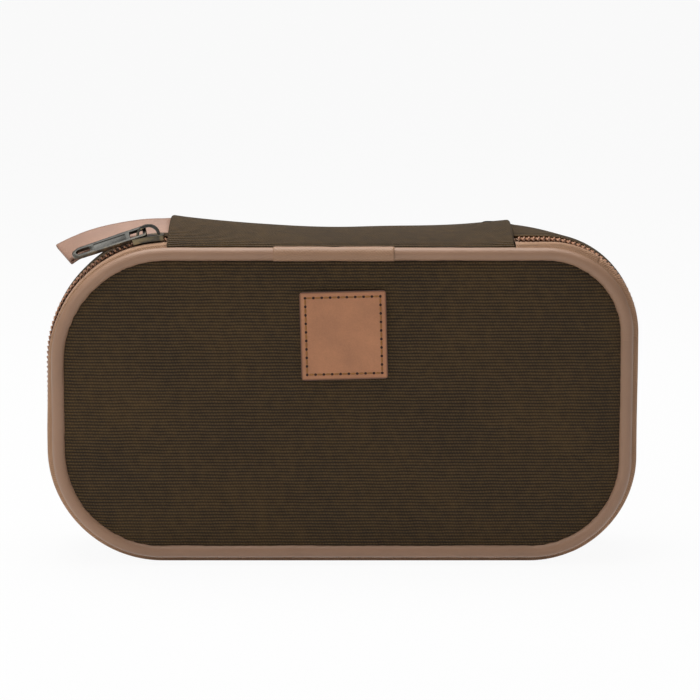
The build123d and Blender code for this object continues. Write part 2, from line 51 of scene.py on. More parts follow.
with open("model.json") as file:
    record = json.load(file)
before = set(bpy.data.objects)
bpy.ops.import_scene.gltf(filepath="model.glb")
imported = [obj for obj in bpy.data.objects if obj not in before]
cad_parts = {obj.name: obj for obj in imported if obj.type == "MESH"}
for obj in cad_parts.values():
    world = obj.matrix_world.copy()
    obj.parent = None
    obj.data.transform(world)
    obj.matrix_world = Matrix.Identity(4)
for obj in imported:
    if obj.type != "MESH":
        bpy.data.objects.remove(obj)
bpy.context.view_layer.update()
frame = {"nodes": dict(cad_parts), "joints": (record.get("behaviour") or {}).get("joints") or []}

PIPING_LOW, PIPING_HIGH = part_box("piping_cover")
GUSSET_LOW, GUSSET_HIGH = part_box("body_gusset")
REAR_TAPE_LOW, REAR_TAPE_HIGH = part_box("rear_zip_tape")
LID_TAPE_LOW, LID_TAPE_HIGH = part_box("lid_zip_tape")
LID_COIL_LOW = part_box("lid_zip_coil")[0]
REAR_COIL_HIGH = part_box("rear_zip_coil")[1]
BACK_LOW, BACK_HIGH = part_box("back_panel")
HINGE_LOW, HINGE_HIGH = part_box("hinge_gusset")
JOIN_LOW, JOIN_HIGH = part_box("piping_join")
BADGE_LOW, BADGE_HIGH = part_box("badge")
PANEL_LOW, PANEL_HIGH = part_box("lid_panel")

HALF_W = (PIPING_HIGH.x - PIPING_LOW.x) / 2
HALF_H = (PIPING_HIGH.z - PIPING_LOW.z) / 2
MIDDLE_Z = (PIPING_HIGH.z + PIPING_LOW.z) / 2
TOP_Z = PIPING_HIGH.z
JOINTS = {joint["name"]: joint for joint in frame["joints"]}

# Offsets of the zip tape's two faces from the lid's outline, and how far its sewn edge lies under the lid.
TAPE_OUTSIDE = 0.0012
TAPE_THICK = 0.0006
TAPE_INSIDE = TAPE_OUTSIDE - TAPE_THICK
SEAM_DEPTH = 0.0088

# The lid's zip half bends from the bag to the lid beside the hinge: its ends and where each bend lies.
LEFT_END_X = -0.104
RIGHT_END_X = 0.103

# Each loop of the coil has an upper leg and a lower one. For each leg: half its width, how much its head
# swells, its middle's height and half its thickness as shares of the coil's height, its shift and its slant.
COIL_LEGS = (
    (0.00052, 0.22, 0.62, 0.38, 0.0, 0.00028),
    (0.0004, 0.0, 0.3, 0.28, 0.0011, -0.0003),
)

# The photograph is square, and its middle lies this many of its pixels right of and above the lid's middle.
PHOTO_SIZE = 700
PHOTO_RIGHT = 8
PHOTO_UP = 55


def length_property(name, description, value):
    return FloatProperty(name=name, description=description, default=value, unit="LENGTH")


def colour_property(name, value):
    return FloatVectorProperty(
        name=name, description=f"Colour of the {name.lower()}", default=value, size=3, subtype="COLOR"
    )


class BagSizes(bpy.types.PropertyGroup):
    """Sizes that shape the bag's cloth and trim."""

    radius_top_right: length_property("Top Right Radius", "Outer corner radius of the piping", 0.0355)
    radius_top_left: length_property("Top Left Radius", "Outer corner radius of the piping", 0.047)
    radius_bottom_left: length_property("Bottom Left Radius", "Outer corner radius of the piping", 0.044)
    radius_bottom_right: length_property("Bottom Right Radius", "Outer corner radius of the piping", 0.041)
    radius_back: length_property("Back Radius", "Corner radius of the back panel", 0.054)
    back_turn: FloatProperty(
        name="Back Turn",
        description="Share of the back's corner that its seam reaches",
        default=0.8,
        subtype="FACTOR",
    )
    piping_radius: length_property("Piping Radius", "Radius of the covered cord", 0.0027)
    corner_steps: IntProperty(name="Corner Steps", description="Rows round each corner", default=40, min=8)
    row_length: length_property("Row Length", "Length of a row on the straight sides", 0.002)
    tooth_pitch: length_property("Tooth Pitch", "Distance from tooth to tooth", 0.002)
    stitch_pitch: length_property("Stitch Pitch", "Length of one stitch with its gap", 0.0035)


class BagColours(bpy.types.PropertyGroup):
    """Colours of the bag's finishes."""

    canvas: colour_property("Canvas", (0.116, 0.064, 0.0175))
    canvas_dark: colour_property("Canvas Shade", (0.024, 0.0130, 0.0036))
    leatherette: colour_property("Leatherette", (0.41, 0.235, 0.145))
    join: colour_property("Join Wrap", (0.42, 0.235, 0.135))
    leather: colour_property("Badge Leather", (0.56, 0.245, 0.12))
    burnt: colour_property("Burnt Edge", (0.055, 0.02, 0.012))
    strap: colour_property("Strap Leather", (0.44, 0.255, 0.18))
    tape: colour_property("Zip Tape", (0.50, 0.285, 0.165))
    coil: colour_property("Zip Coil", (0.42, 0.20, 0.105))
    gunmetal: colour_property("Gunmetal", (0.075, 0.073, 0.066))
    brass: colour_property("Worn Brass", (0.40, 0.31, 0.17))
    lining: colour_property("Lining", (0.13, 0.125, 0.12))
    thread: colour_property("Badge Thread", (0.36, 0.15, 0.035))


def sizes():
    return bpy.context.scene.bag_sizes


def colours():
    return bpy.context.scene.bag_colours


class Val:
    """A socket that can be written in Python expressions."""

    def __init__(self, tree, socket):
        self.tree = tree
        self.socket = socket

    def _math(self, operation, other=None, swap=False):
        node = self.tree.nodes.new("ShaderNodeMath")
        node.operation = operation
        values = [self, other] if not swap else [other, self]
        for slot, value in zip(node.inputs, values):
            if isinstance(value, Val):
                self.tree.links.new(value.socket, slot)
            elif value is not None:
                slot.default_value = value
        return Val(self.tree, node.outputs[0])

    def __add__(self, other):
        return self._math("ADD", other)

    __radd__ = __add__

    def __mul__(self, other):
        return self._math("MULTIPLY", other)

    __rmul__ = __mul__

    def __sub__(self, other):
        return self._math("SUBTRACT", other)

    def __rsub__(self, other):
        return self._math("SUBTRACT", other, swap=True)

    def sin(self):
        return self._math("SINE")

    def floor(self):
        return self._math("FLOOR")

    def clamp(self):
        node = self.tree.nodes.new("ShaderNodeClamp")
        self.tree.links.new(self.socket, node.inputs[0])
        return Val(self.tree, node.outputs[0])


class Finish:
    """A material under construction."""

    def __init__(self, name, roughness=0.6, metallic=0.0, **fixed):
        self.material = bpy.data.materials.new(name)
        self.material.use_nodes = True
        self.tree = self.material.node_tree
        self.shader = self.tree.nodes["Principled BSDF"]
        self.shader.inputs["Roughness"].default_value = roughness
        self.shader.inputs["Metallic"].default_value = metallic
        for socket, value in fixed.items():
            self.shader.inputs[socket.replace("_", " ").title()].default_value = value

    def node(self, kind, settings=None, inputs=None, output=0):
        node = self.tree.nodes.new(kind)
        for key, value in (settings or {}).items():
            setattr(node, key, value)
        for key, value in (inputs or {}).items():
            if isinstance(value, Val):
                self.tree.links.new(value.socket, node.inputs[key])
            else:
                node.inputs[key].default_value = value
        return Val(self.tree, node.outputs[output])

    def uv(self):
        both = self.node("ShaderNodeTexCoord", output="UV")
        split = self.tree.nodes.new("ShaderNodeSeparateXYZ")
        self.tree.links.new(both.socket, split.inputs[0])
        return Val(self.tree, split.outputs[0]), Val(self.tree, split.outputs[1]), both

    def place(self):
        return self.node("ShaderNodeTexCoord", output="Object")

    def noise(self, vector, scale, detail=3.0, rough=0.5):
        inputs = {"Vector": vector, "Scale": scale, "Detail": detail, "Roughness": rough}
        return self.node("ShaderNodeTexNoise", inputs=inputs)

    def cells(self, vector, scale):
        settings = {"feature": "DISTANCE_TO_EDGE"}
        return self.node("ShaderNodeTexVoronoi", settings, {"Vector": vector, "Scale": scale})

    def mix(self, factor, low, high):
        node = self.tree.nodes.new("ShaderNodeMix")
        node.data_type = "RGBA"
        for index, value in ((0, factor), (6, low), (7, high)):
            if isinstance(value, Val):
                self.tree.links.new(value.socket, node.inputs[index])
            else:
                node.inputs[index].default_value = value if index == 0 else (*tuple(value)[:3], 1)
        return Val(self.tree, node.outputs[2])

    def feed(self, socket, value):
        self.tree.links.new(value.socket, self.shader.inputs[socket])

    def bump(self, height, depth):
        inputs = {"Height": height, "Distance": depth, "Strength": 1.0}
        self.feed("Normal", self.node("ShaderNodeBump", inputs=inputs))


def tinted(colour, factor):
    return tuple(min(1.0, channel * factor) for channel in colour)


def canvas_finish():
    """Heavy cotton canvas with a fine rib, broken into short yarns, and a little fading."""
    rib_pitch, yarn_pitch = 0.00128, 0.00115
    finish = Finish("ribbed_canvas", roughness=0.92, sheen_weight=0.04)
    u, v, both = finish.uv()
    wobble = finish.noise(both, 90.0, 2.0)
    row = v * (1 / rib_pitch) + wobble * 0.5
    rib = (row * (2 * math.pi)).sin() * 0.5 + 0.5
    shift = (row + 0.25).floor() * 2.4
    yarn = (u * (2 * math.pi / yarn_pitch) + shift + wobble * 2.5).sin() * 0.5 + 0.5
    fuzz = finish.noise(both, 2200.0, 2.0, 0.7)
    weave = (rib * 0.55 + rib * yarn * 0.45 + (fuzz - 0.5) * 0.5).clamp()
    patches = finish.noise(both, 26.0, 3.0, 0.6)
    slub = finish.noise(both, 260.0, 2.0, 0.6)
    shade = (weave * 0.95 + (patches - 0.5) * 0.6 + (slub - 0.5) * 0.6).clamp()
    finish.feed("Base Color", finish.mix(shade, colours().canvas_dark, tinted(colours().canvas, 1.2)))
    finish.feed("Roughness", 0.98 - weave * 0.14)
    finish.bump(weave + slub * 0.4, 0.0006)
    return finish.material


def leatherette_finish(name, colour, grain, diamond):
    """Coated cloth with soft highlights: grain is the pitch of its diamonds, and diamond their strength."""
    finish = Finish(name, roughness=0.42, coat_weight=0.12, coat_roughness=0.35)
    u, v, both = finish.uv()
    tone = finish.noise(both, 34.0, 4.0, 0.6)
    speck = finish.noise(both, 1500.0, 2.0, 0.6)
    diagonal = (u + v) * (2 * math.pi / grain)
    other = (u - v) * (2 * math.pi / grain)
    diamonds = (diagonal.sin() + other.sin()) * 0.25 + 0.5
    shade = ((tone - 0.5) * 0.9 + (speck - 0.5) * 0.25 + diamonds * diamond + 0.5 - diamond / 2).clamp()
    finish.feed("Base Color", finish.mix(shade, tinted(colour, 0.74), tinted(colour, 1.16)))
    finish.feed("Roughness", 0.36 + tone * 0.2)
    finish.bump(speck * 0.5 + diamonds * diamond * 2 + tone * 0.8, 0.00016)
    return finish.material


def leather_finish(name, colour, edge):
    """Vegetable-tanned leather with pores and fine creases, and another colour along its edges."""
    finish = Finish(name, roughness=0.55, coat_weight=0.05, coat_roughness=0.4)
    place = finish.place()
    mottle = finish.noise(place, 70.0, 5.0, 0.65)
    pores = finish.noise(place, 1900.0, 3.0, 0.7)
    crease = finish.cells(place, 900.0)
    shade = ((mottle - 0.5) * 1.5 + (pores - 0.5) * 0.6 + 0.5).clamp()
    skin = finish.mix(shade, tinted(colour, 0.72), tinted(colour, 1.15))
    mask = finish.node("ShaderNodeAttribute", {"attribute_name": "edge"}, output=2)
    skin = finish.mix((mask + (mottle - 0.5) * 0.5 * mask).clamp(), skin, edge)
    finish.feed("Base Color", skin)
    finish.feed("Roughness", 0.46 + mottle * 0.22)
    finish.bump(pores * 0.7 + crease * 0.6, 0.00012)
    return finish.material


def tape_finish():
    """Woven zip tape with a herringbone, whose slant turns from band to band."""
    band, warp_pitch, weft_pitch = 0.0016, 0.0009, 0.0011
    finish = Finish("zip_tape_weave", roughness=0.8, sheen_weight=0.1)
    u, v, both = finish.uv()
    zigzag = (v * (1 / band)).floor() * 3.1
    slant = (u * (2 * math.pi / warp_pitch) + v * (2 * math.pi / weft_pitch) + zigzag).sin() * 0.5 + 0.5
    fuzz = finish.noise(both, 1800.0, 2.0, 0.6)
    tone = finish.noise(both, 45.0, 3.0)
    shade = (slant * 0.45 + (fuzz - 0.5) * 0.4 + (tone - 0.5) * 0.5 + 0.3).clamp()
    finish.feed("Base Color", finish.mix(shade, tinted(colours().tape, 0.7), tinted(colours().tape, 1.18)))
    finish.feed("Roughness", 0.86 - slant * 0.12)
    finish.bump(slant + fuzz * 0.4, 0.00016)
    return finish.material


def coil_finish():
    """Nylon coil, slightly translucent looking, with painted shade: lighter on the outer face of each loop's
    upper leg, darker deeper in, in the gaps and on the lower legs.
    """
    finish = Finish("nylon_coil", roughness=0.38, coat_weight=0.1, coat_roughness=0.3)
    place = finish.place()
    tone = finish.noise(place, 260.0, 3.0)
    # Painted shade: the depth attribute darkens the parts of each loop that lie deeper.
    depth = finish.node("ShaderNodeAttribute", {"attribute_name": "depth"}, output=2)
    shade = (depth * 0.8 + (tone - 0.5) * 0.5 + 0.1).clamp()
    finish.feed("Base Color", finish.mix(shade, tinted(colours().coil, 0.35), tinted(colours().coil, 1.3)))
    finish.feed("Roughness", 0.3 + tone * 0.2)
    finish.bump(tone, 0.00008)
    return finish.material


def gunmetal_finish(name, wear):
    """Antique gunmetal, rubbed back to brass along its edges."""
    finish = Finish(name, roughness=0.34, metallic=0.9)
    place = finish.place()
    cloudy = finish.noise(place, 420.0, 4.0, 0.65)
    scratch = finish.noise(place, 2600.0, 2.0, 0.7)
    point = finish.node("ShaderNodeNewGeometry", output="Pointiness")
    rubbed = ((point - 0.53) * 14.0 + (cloudy - 0.5) * 1.6).clamp() * wear * 0.8
    base = finish.mix(cloudy, tinted(colours().gunmetal, 0.5), tinted(colours().gunmetal, 1.8))
    finish.feed("Base Color", finish.mix(rubbed, base, colours().brass))
    finish.feed("Roughness", 0.28 + cloudy * 0.24)
    finish.bump(scratch * 0.5 + cloudy, 0.00006)
    return finish.material


def lining_finish():
    """Plain woven lining cloth."""
    pitch = 0.0008
    finish = Finish("lining_weave", roughness=0.85, sheen_weight=0.08)
    u, v, both = finish.uv()
    over = (u * (2 * math.pi / pitch)).sin() * (v * (2 * math.pi / pitch)).sin() * 0.5 + 0.5
    tone = finish.noise(both, 40.0, 3.0)
    shade = (over * 0.5 + (tone - 0.5) * 0.6 + 0.25).clamp()
    low, high = tinted(colours().lining, 0.7), tinted(colours().lining, 1.25)
    finish.feed("Base Color", finish.mix(shade, low, high))
    finish.bump(over, 0.00012)
    return finish.material


def thread_finish():
    """Waxed thread with its twist."""
    finish = Finish("waxed_thread", roughness=0.6)
    place = finish.place()
    twist = finish.noise(place, 1400.0, 2.0)
    finish.feed("Base Color", finish.mix(twist, tinted(colours().thread, 0.6), tinted(colours().thread, 1.3)))
    finish.bump(twist, 0.0001)
    return finish.material


def painted_hole_shade_finish():
    """Needle holes painted dark: painted shade inside the holes where the leather is pierced."""
    finish = Finish("needle_hole_painted_shade", roughness=0.9)
    place = finish.place()
    tone = finish.noise(place, 1500.0, 2.0)
    finish.feed("Base Color", finish.mix(tone, tinted(colours().burnt, 0.4), colours().burnt))
    return finish.material


class Station:
    """A place on the outline: its point and outward normal at the lid and at the back."""

    def __init__(self, front, back, normal, along, corner):
        self.front = front
        self.back = back
        self.normal = normal
        self.along = along
        self.corner = corner

    def at(self, offset, y, share=0.0, scale=1.0):
        """The point at this offset outwards, moved by its share to the back's outline, then scaled."""
        x = self.front[0] + (self.back[0] - self.front[0]) * share + self.normal[0] * offset
        z = self.front[1] + (self.back[1] - self.front[1]) * share + self.normal[1] * offset
        return Vector((x * scale, y, MIDDLE_Z + (z - MIDDLE_Z) * scale))


def full_loop():
    """Stations round the whole outline, anticlockwise from the right end of the top right corner."""
    front_radii = (
        sizes().radius_top_right,
        sizes().radius_top_left,
        sizes().radius_bottom_left,
        sizes().radius_bottom_right,
    )
    back_radius = sizes().radius_back
    signs = ((1, 1), (-1, 1), (-1, -1), (1, -1))

    def corner_point(index, radius, angle):
        sign_x, sign_z = signs[index]
        x = sign_x * (HALF_W - radius) + radius * math.cos(angle)
        z = MIDDLE_Z + sign_z * (HALF_H - radius) + radius * math.sin(angle)
        return x, z

    loop = []
    along = 0.0
    for index, radius in enumerate(front_radii):
        steps = sizes().corner_steps
        for step in range(steps):
            angle = math.radians(90) * (index + step / steps)
            normal = (math.cos(angle), math.sin(angle))
            corner = math.sin(math.pi * step / steps)
            front = corner_point(index, radius, angle)
            back = corner_point(index, back_radius, angle)
            loop.append(Station(front, back, normal, along, corner))
            along += math.pi / 2 * radius / steps
        angle = math.radians(90) * (index + 1)
        following = (index + 1) % 4
        normal = (math.cos(angle), math.sin(angle))
        ends = []
        for own, other in ((radius, front_radii[following]), (back_radius, back_radius)):
            ends.append((corner_point(index, own, angle), corner_point(following, other, angle)))
        (start, end), (back_start, back_end) = ends
        length = math.hypot(end[0] - start[0], end[1] - start[1])
        count = max(4, round(length / sizes().row_length))
        for step in range(count):
            share = step / count
            front = tuple(a + (b - a) * share for a, b in zip(start, end))
            back = tuple(a + (b - a) * share for a, b in zip(back_start, back_end))
            loop.append(Station(front, back, normal, along, 0.0))
            along += length / count
    return loop


def zip_run(left_tuck=0.0015, right_tuck=0.0015):
    """Stations of the zip, from the hinge strip's left end down and round to its right end.

    It starts and stops this far under the strip's ends.
    """
    loop = full_loop()
    straight_up = 0.9999
    top = [n for n, s in enumerate(loop) if s.normal[1] > straight_up]
    kept_right = [n for n in top if loop[n].front[0] > HINGE_HIGH.x - right_tuck]
    kept_left = [n for n in top if loop[n].front[0] < HINGE_LOW.x + left_tuck]
    first = min(kept_left) if kept_left else max(top) + 1
    last = max(kept_right)
    order = list(range(first, len(loop))) + list(range(0, last + 1))
    total = loop[-1].along + (loop[1].along - loop[0].along)
    run = []
    for number in order:
        station = loop[number]
        along = station.along if number >= first else station.along + total
        run.append(Station(station.front, station.back, station.normal, along, station.corner))
    return run


def finish_mesh(name, verts, faces, uvs, material):
    """Makes a smooth mesh object, with its UV map in metres."""
    mesh = bpy.data.meshes.new(name)
    mesh.from_pydata([tuple(v) for v in verts], [], faces)
    layer = mesh.uv_layers.new(name="cloth")
    for loop in mesh.loops:
        layer.data[loop.index].uv = uvs[loop.vertex_index]
    mesh.materials.append(material)
    for polygon in mesh.polygons:
        polygon.use_smooth = True
    piece = bpy.data.objects.new(name, mesh)
    bpy.context.scene.collection.objects.link(piece)
    return piece


def face_out(piece):
    """Merges doubles and turns every face outwards."""
    work = bmesh.new()
    work.from_mesh(piece.data)
    bmesh.ops.remove_doubles(work, verts=work.verts, dist=1e-7)
    bmesh.ops.recalc_face_normals(work, faces=work.faces)
    work.to_mesh(piece.data)
    work.free()


def sweep(name, run, profile, material, closed_run=True, closed_profile=True, across=None):
    """A surface with one row of points for each station.

    profile(station) gives the row as points, and across(station, point) gives a point's UV, which is
    otherwise the way along the outline and the way along the first row.
    """
    rows = [profile(station) for station in run]
    width = len(rows[0])
    verts = [point for row in rows for point in row]
    lengths = [0.0]
    for a, b in zip(rows[0], rows[0][1:]):
        lengths.append(lengths[-1] + (b - a).length)
    uvs = []
    for station, row in zip(run, rows):
        for number, point in enumerate(row):
            uvs.append(across(station, point) if across else (station.along, lengths[number]))
    faces = []
    count = len(rows)
    for r in range(count if closed_run else count - 1):
        for c in range(width if closed_profile else width - 1):
            a, b = r * width + c, r * width + (c + 1) % width
            d, e = (r + 1) % count * width + c, (r + 1) % count * width + (c + 1) % width
            faces.append((a, b, e, d))
    if not closed_run and closed_profile:
        faces.append(tuple(range(width))[::-1])
        faces.append(tuple((count - 1) * width + c for c in range(width)))
    return finish_mesh(name, verts, faces, uvs, material)


def flat_uv(station, point):
    """The UV of a panel that faces the front or the back."""
    return (point.x, point.z)


def seam_strip(outer, y, low, high):
    """The profile of a sewn edge that lies flat under the lid, from an offset inwards."""
    corners = ((outer, low), (outer, high), (-SEAM_DEPTH, high), (-SEAM_DEPTH, low))
    return lambda station: [station.at(offset, y + depth) for offset, depth in corners]


def paint(piece, name, values):
    """Gives each point a value that a finish reads by its name."""
    layer = piece.data.attributes.new(name, "FLOAT", "POINT")
    layer.data.foreach_set("value", values)


def take_shape(source):
    """Points and faces of a scratch object, which is then removed."""
    points = [v.co.copy() for v in source.data.vertices]
    faces = [tuple(p.vertices) for p in source.data.polygons]
    bpy.data.objects.remove(source, do_unlink=True)
    return points, faces


def apply_modifier(piece, kind, **settings):
    """Adds a modifier and applies it as by hand."""
    bpy.ops.object.select_all(action="DESELECT")
    modifier = piece.modifiers.new(kind.title(), kind)
    for key, value in settings.items():
        setattr(modifier, key, value)
    piece.select_set(True)
    bpy.context.view_layer.objects.active = piece
    bpy.ops.object.modifier_apply(modifier=modifier.name)
    piece.select_set(False)


def limited(share):
    return max(0.0, min(1.0, share))


def ripple(x, y, z, scale, seed=0.0):
    """Smooth unevenness between about -1 and 1, the same in each run."""
    return noise.noise(Vector((x * scale + seed, y * scale, z * scale)))


def dress(piece, body, slot, *nodes):
    """Sets the piece's body and the nodes it stands for, which it hides. The slot is not used."""
    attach(piece, body)
    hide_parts(*nodes)


def end_side(x, z):
    """Which end of the lid's zip half a place belongs to, or None where it is sewn to the lid."""
    if z > MIDDLE_Z and LEFT_END_X < x < 0:
        return "left"
    if z > MIDDLE_Z and 0 < x < RIGHT_END_X:
        return "right"
    return None


def bend_end(piece, side):
    """Bakes the transform of an end of the lid's zip half."""
    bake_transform(piece)


class BAG_OT_lid_canvas(bpy.types.Operator):
    """Padded front panel of ribbed canvas, drawn in along its seam."""

    bl_idname = "bag.lid_canvas"
    bl_label = "Lid Canvas"

    def execute(self, context):
        tuck, fold = 0.0012, 0.0006
        edge = -(HALF_W - PANEL_HIGH.x) + tuck
        front, back = PANEL_LOW.y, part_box("lid_lining")[0].y - fold
        swell, crown_width, gather_width, gather_pitch = 0.0017, 0.019, 0.0045, 0.0058
        sag = 0.00035
        edge_steps, inner_steps = 9, 8

        def profile(station):
            row = []
            gather = 0.5 + 0.5 * station.corner
            for step in range(edge_steps + 1):
                angle = math.pi / 2 * step / edge_steps
                inset = crown_width * (1 - math.cos(angle))
                height = swell * math.sin(angle) ** 0.8
                point = station.at(edge - inset, front + swell - height)
                fade = math.exp(-inset / gather_width)
                wave = math.sin(station.along * 2 * math.pi / gather_pitch + 3 * ripple(*point, 40))
                deeper = ripple(*point, 60, 5) * 0.0005 + wave * 0.00022 * gather
                point.y += deeper * fade + ripple(*point, 28) * sag * (1 - fade)
                row.append(point)
            for step in range(1, inner_steps + 1):
                scale = 1 - step / inner_steps
                point = station.at(edge - crown_width, front, 0.0, scale)
                point.y += ripple(*point, 28) * sag - 0.0004 * (1 - scale ** 2)
                row.append(point)
            return [station.at(edge - fold, back, 0, 0), station.at(edge - fold, back)] + row

        finish = canvas_finish()
        piece = sweep("lid_canvas", full_loop(), profile, finish, closed_profile=False, across=flat_uv)
        face_out(piece)
        dress(piece, "lid", "canvas", "lid_panel", "lid_padding")
        return {"FINISHED"}


class BAG_OT_piping(bpy.types.Operator):
    """Leatherette piping round the lid, gathered on the inside of its corners."""

    bl_idname = "bag.piping"
    bl_label = "Piping"

    def execute(self, context):
        radius = sizes().piping_radius
        centre_y = PIPING_LOW.y + radius
        sides = 28
        gather, gather_pitch = 0.045, 0.0062

        def profile(station):
            row = []
            for side in range(sides):
                angle = 2 * math.pi * side / sides
                inner = max(0.0, -math.cos(angle)) ** 1.5
                drift = 4 * ripple(station.along, 0, 0, 60)
                pucker = math.sin(station.along * 2 * math.pi / gather_pitch + drift)
                reach = radius * (1 + gather * pucker * inner * station.corner ** 0.5)
                reach += 0.00012 * ripple(station.along, angle * 0.004, 0, 120)
                row.append(station.at(-radius + reach * math.cos(angle), centre_y + reach * math.sin(angle)))
            return row

        finish = leatherette_finish("leatherette_grain", colours().leatherette, 0.0011, 0.12)
        piece = sweep("piping", full_loop(), profile, finish)
        face_out(piece)
        dress(piece, "lid", "leatherette", "piping_cover", "piping_cord")
        tail_y = centre_y + radius - 0.0003
        tail = sweep("piping_seam_tail", full_loop(), seam_strip(-radius, tail_y, -0.0004, 0.0003), finish)
        face_out(tail)
        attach(tail, "lid")
        return {"FINISHED"}


class BAG_OT_piping_join(bpy.types.Operator):
    """The wrap over the piping's meeting ends, cut square and glued down."""

    bl_idname = "bag.piping_join"
    bl_label = "Piping Join"

    def execute(self, context):
        radius = sizes().piping_radius
        centre = Vector((0, PIPING_LOW.y + radius, TOP_Z - radius))
        outer_gap, inner_gap = 0.00042, 0.00006
        first_angle, wrap_angle = -58, 262
        pinch_x, pinch_width = -0.003, 0.004
        rows = 60
        sides = 32
        run = []
        for step in range(rows + 1):
            x = JOIN_LOW.x + (JOIN_HIGH.x - JOIN_LOW.x) * step / rows
            run.append(Station((x, 0), (x, 0), (0, 1), x - JOIN_LOW.x, 0.0))

        def profile(station):
            x = station.front[0]
            end = min(x - JOIN_LOW.x, JOIN_HIGH.x - x)
            pinch = 0.00018 * math.exp(-(((x - pinch_x) / pinch_width) ** 2))
            row = []
            for gap, turns in ((outer_gap, range(sides + 1)), (inner_gap, range(sides, -1, -1))):
                for turn in turns:
                    angle = math.radians(first_angle + wrap_angle * turn / sides)
                    reach = radius + gap - pinch
                    reach += 0.00006 * ripple(x, angle * 0.003, 0, 300) - 0.00006 * math.exp(-end / 0.0004)
                    y = centre.y - reach * math.cos(angle)
                    row.append(Vector((x, y, centre.z + reach * math.sin(angle))))
            return row

        finish = leatherette_finish("join_wrap_grain", colours().join, 0.0013, 0.3)
        piece = sweep("piping_join_wrap", run, profile, finish, closed_run=False)
        face_out(piece)
        dress(piece, "lid", "leatherette", "piping_join")
        return {"FINISHED"}


class BAG_OT_tapes(bpy.types.Operator):
    """Zip tapes: the lid's, its two ends beside the hinge, and the rear one."""

    bl_idname = "bag.tapes"
    bl_label = "Zip Tapes"

    def execute(self, context):
        finish = tape_finish()
        inside, outside = TAPE_INSIDE, TAPE_OUTSIDE
        seam, end = LID_TAPE_LOW.y, LID_TAPE_HIGH.y
        run = zip_run()
        left = [s for s in run if end_side(*s.front) == "left"]
        right = [s for s in run if end_side(*s.front) == "right"]
        left_end = run.index(left[-1])
        right_start = run.index(right[0])
        floor_gap = 0.0002
        full_roll = PIPING_LOW.z - floor_gap - outside

        def roll(station):
            """How far the tape rolls out: to the floor below, hardly at all beside the hinge."""
            x = station.front[0]
            height = (station.front[1] - MIDDLE_Z) / HALF_H
            share = limited((0.62 - height) / 0.8) if x < 0 else 1.0
            if x > 0 and height > 0.9:
                share = limited((x - 0.07) / 0.03)
            on_floor = height <= -0.95
            return outside + full_roll * share * (1 + 0.12 * ripple(station.along, 0, 0, 30) * (not on_floor))

        def wall(station):
            swell = 0.00012 * ripple(station.along, 0, 0, 45)
            outer = roll(station)
            points = [(outside - TAPE_THICK, seam + 0.0001)]
            steps = 8
            for step in range(steps + 1):
                angle = math.pi * step / steps
                rise = (outer - outside) * math.sin(angle) + TAPE_THICK * math.sin(angle / 2) - TAPE_THICK
                points.append((outside + rise, seam + 0.0004 + 0.0030 * (1 - math.cos(angle)) / 2))
            points += [(outside + swell, seam + 0.0046), (outside, end), (inside, end)]
            points += [(inside + swell, seam + 0.0046), (inside, seam + 0.0034)]
            points += [(inside + (outer - outside) * 0.8, seam + 0.0019), (inside - 0.0002, seam + 0.0007)]
            return [station.at(offset, y) for offset, y in points]

        main = sweep("lid_tape", run[left_end : right_start + 1], wall, finish, closed_run=False)
        face_out(main)
        dress(main, "lid", "zip_tape", "lid_zip_tape")
        for side, part in (("left", left), ("right", right)):
            piece = sweep(f"lid_tape_end_{side}", part, wall, finish, closed_run=False)
            face_out(piece)
            bend_end(piece, side)
            if side == "left":
                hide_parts("zip_end_tapes")

        strip = seam_strip(inside, seam, 0.0, TAPE_THICK)
        turned = sweep("lid_tape_allowance", run, strip, finish, closed_run=False)
        face_out(turned)
        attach(turned, "lid")

        start, stop = REAR_TAPE_LOW.y, REAR_TAPE_HIGH.y

        def rear(station):
            swell = 0.00015 * ripple(station.along, 0.3, 0, 45)
            points = (
                (outside, start),
                (outside + swell, (start + stop) / 2),
                (outside, stop),
                (inside, stop),
                (inside + swell, (start + stop) / 2),
                (inside, start),
            )
            return [station.at(offset, y) for offset, y in points]

        piece = sweep("rear_tape", run, rear, finish, closed_run=False)
        face_out(piece)
        dress(piece, "body", "zip_tape", "rear_zip_tape")
        return {"FINISHED"}


def tooth_shape():
    """A ball with its poles along Y, from which each leg of a coil's loop is shaped."""
    bpy.ops.object.select_all(action="DESELECT")
    bpy.ops.mesh.primitive_uv_sphere_add(segments=8, ring_count=8, radius=1.0, rotation=(math.pi / 2, 0, 0))
    bpy.ops.object.transform_apply(location=False, rotation=True, scale=True)
    return take_shape(bpy.context.object)


def tooth_places(run, chain_y):
    """Spot, normal, tangent and side of each tooth, in lists for the pieces that the teeth belong to."""
    pitch = sizes().tooth_pitch
    groups = {"rear": [], "lid": [], "left": [], "right": []}
    for side in (-1, 1):
        place = run[0].along + pitch / 2 + (side + 1) / 4 * pitch
        number = 0
        while place < run[-1].along - pitch / 2:
            while run[number + 1].along < place:
                number += 1
            a, b = run[number], run[number + 1]
            share = (place - a.along) / (b.along - a.along)
            before, after = (Vector((s.normal[0], 0, s.normal[1])) for s in (a, b))
            normal = before.lerp(after, share)
            normal.normalize()
            spot = a.at(0, chain_y).lerp(b.at(0, chain_y), share)
            tangent = normal.cross(Vector((0, 1, 0)))
            group = "rear" if side > 0 else end_side(spot.x, spot.z) or "lid"
            groups[group].append((spot, normal, tangent, side))
            place += pitch
    return groups


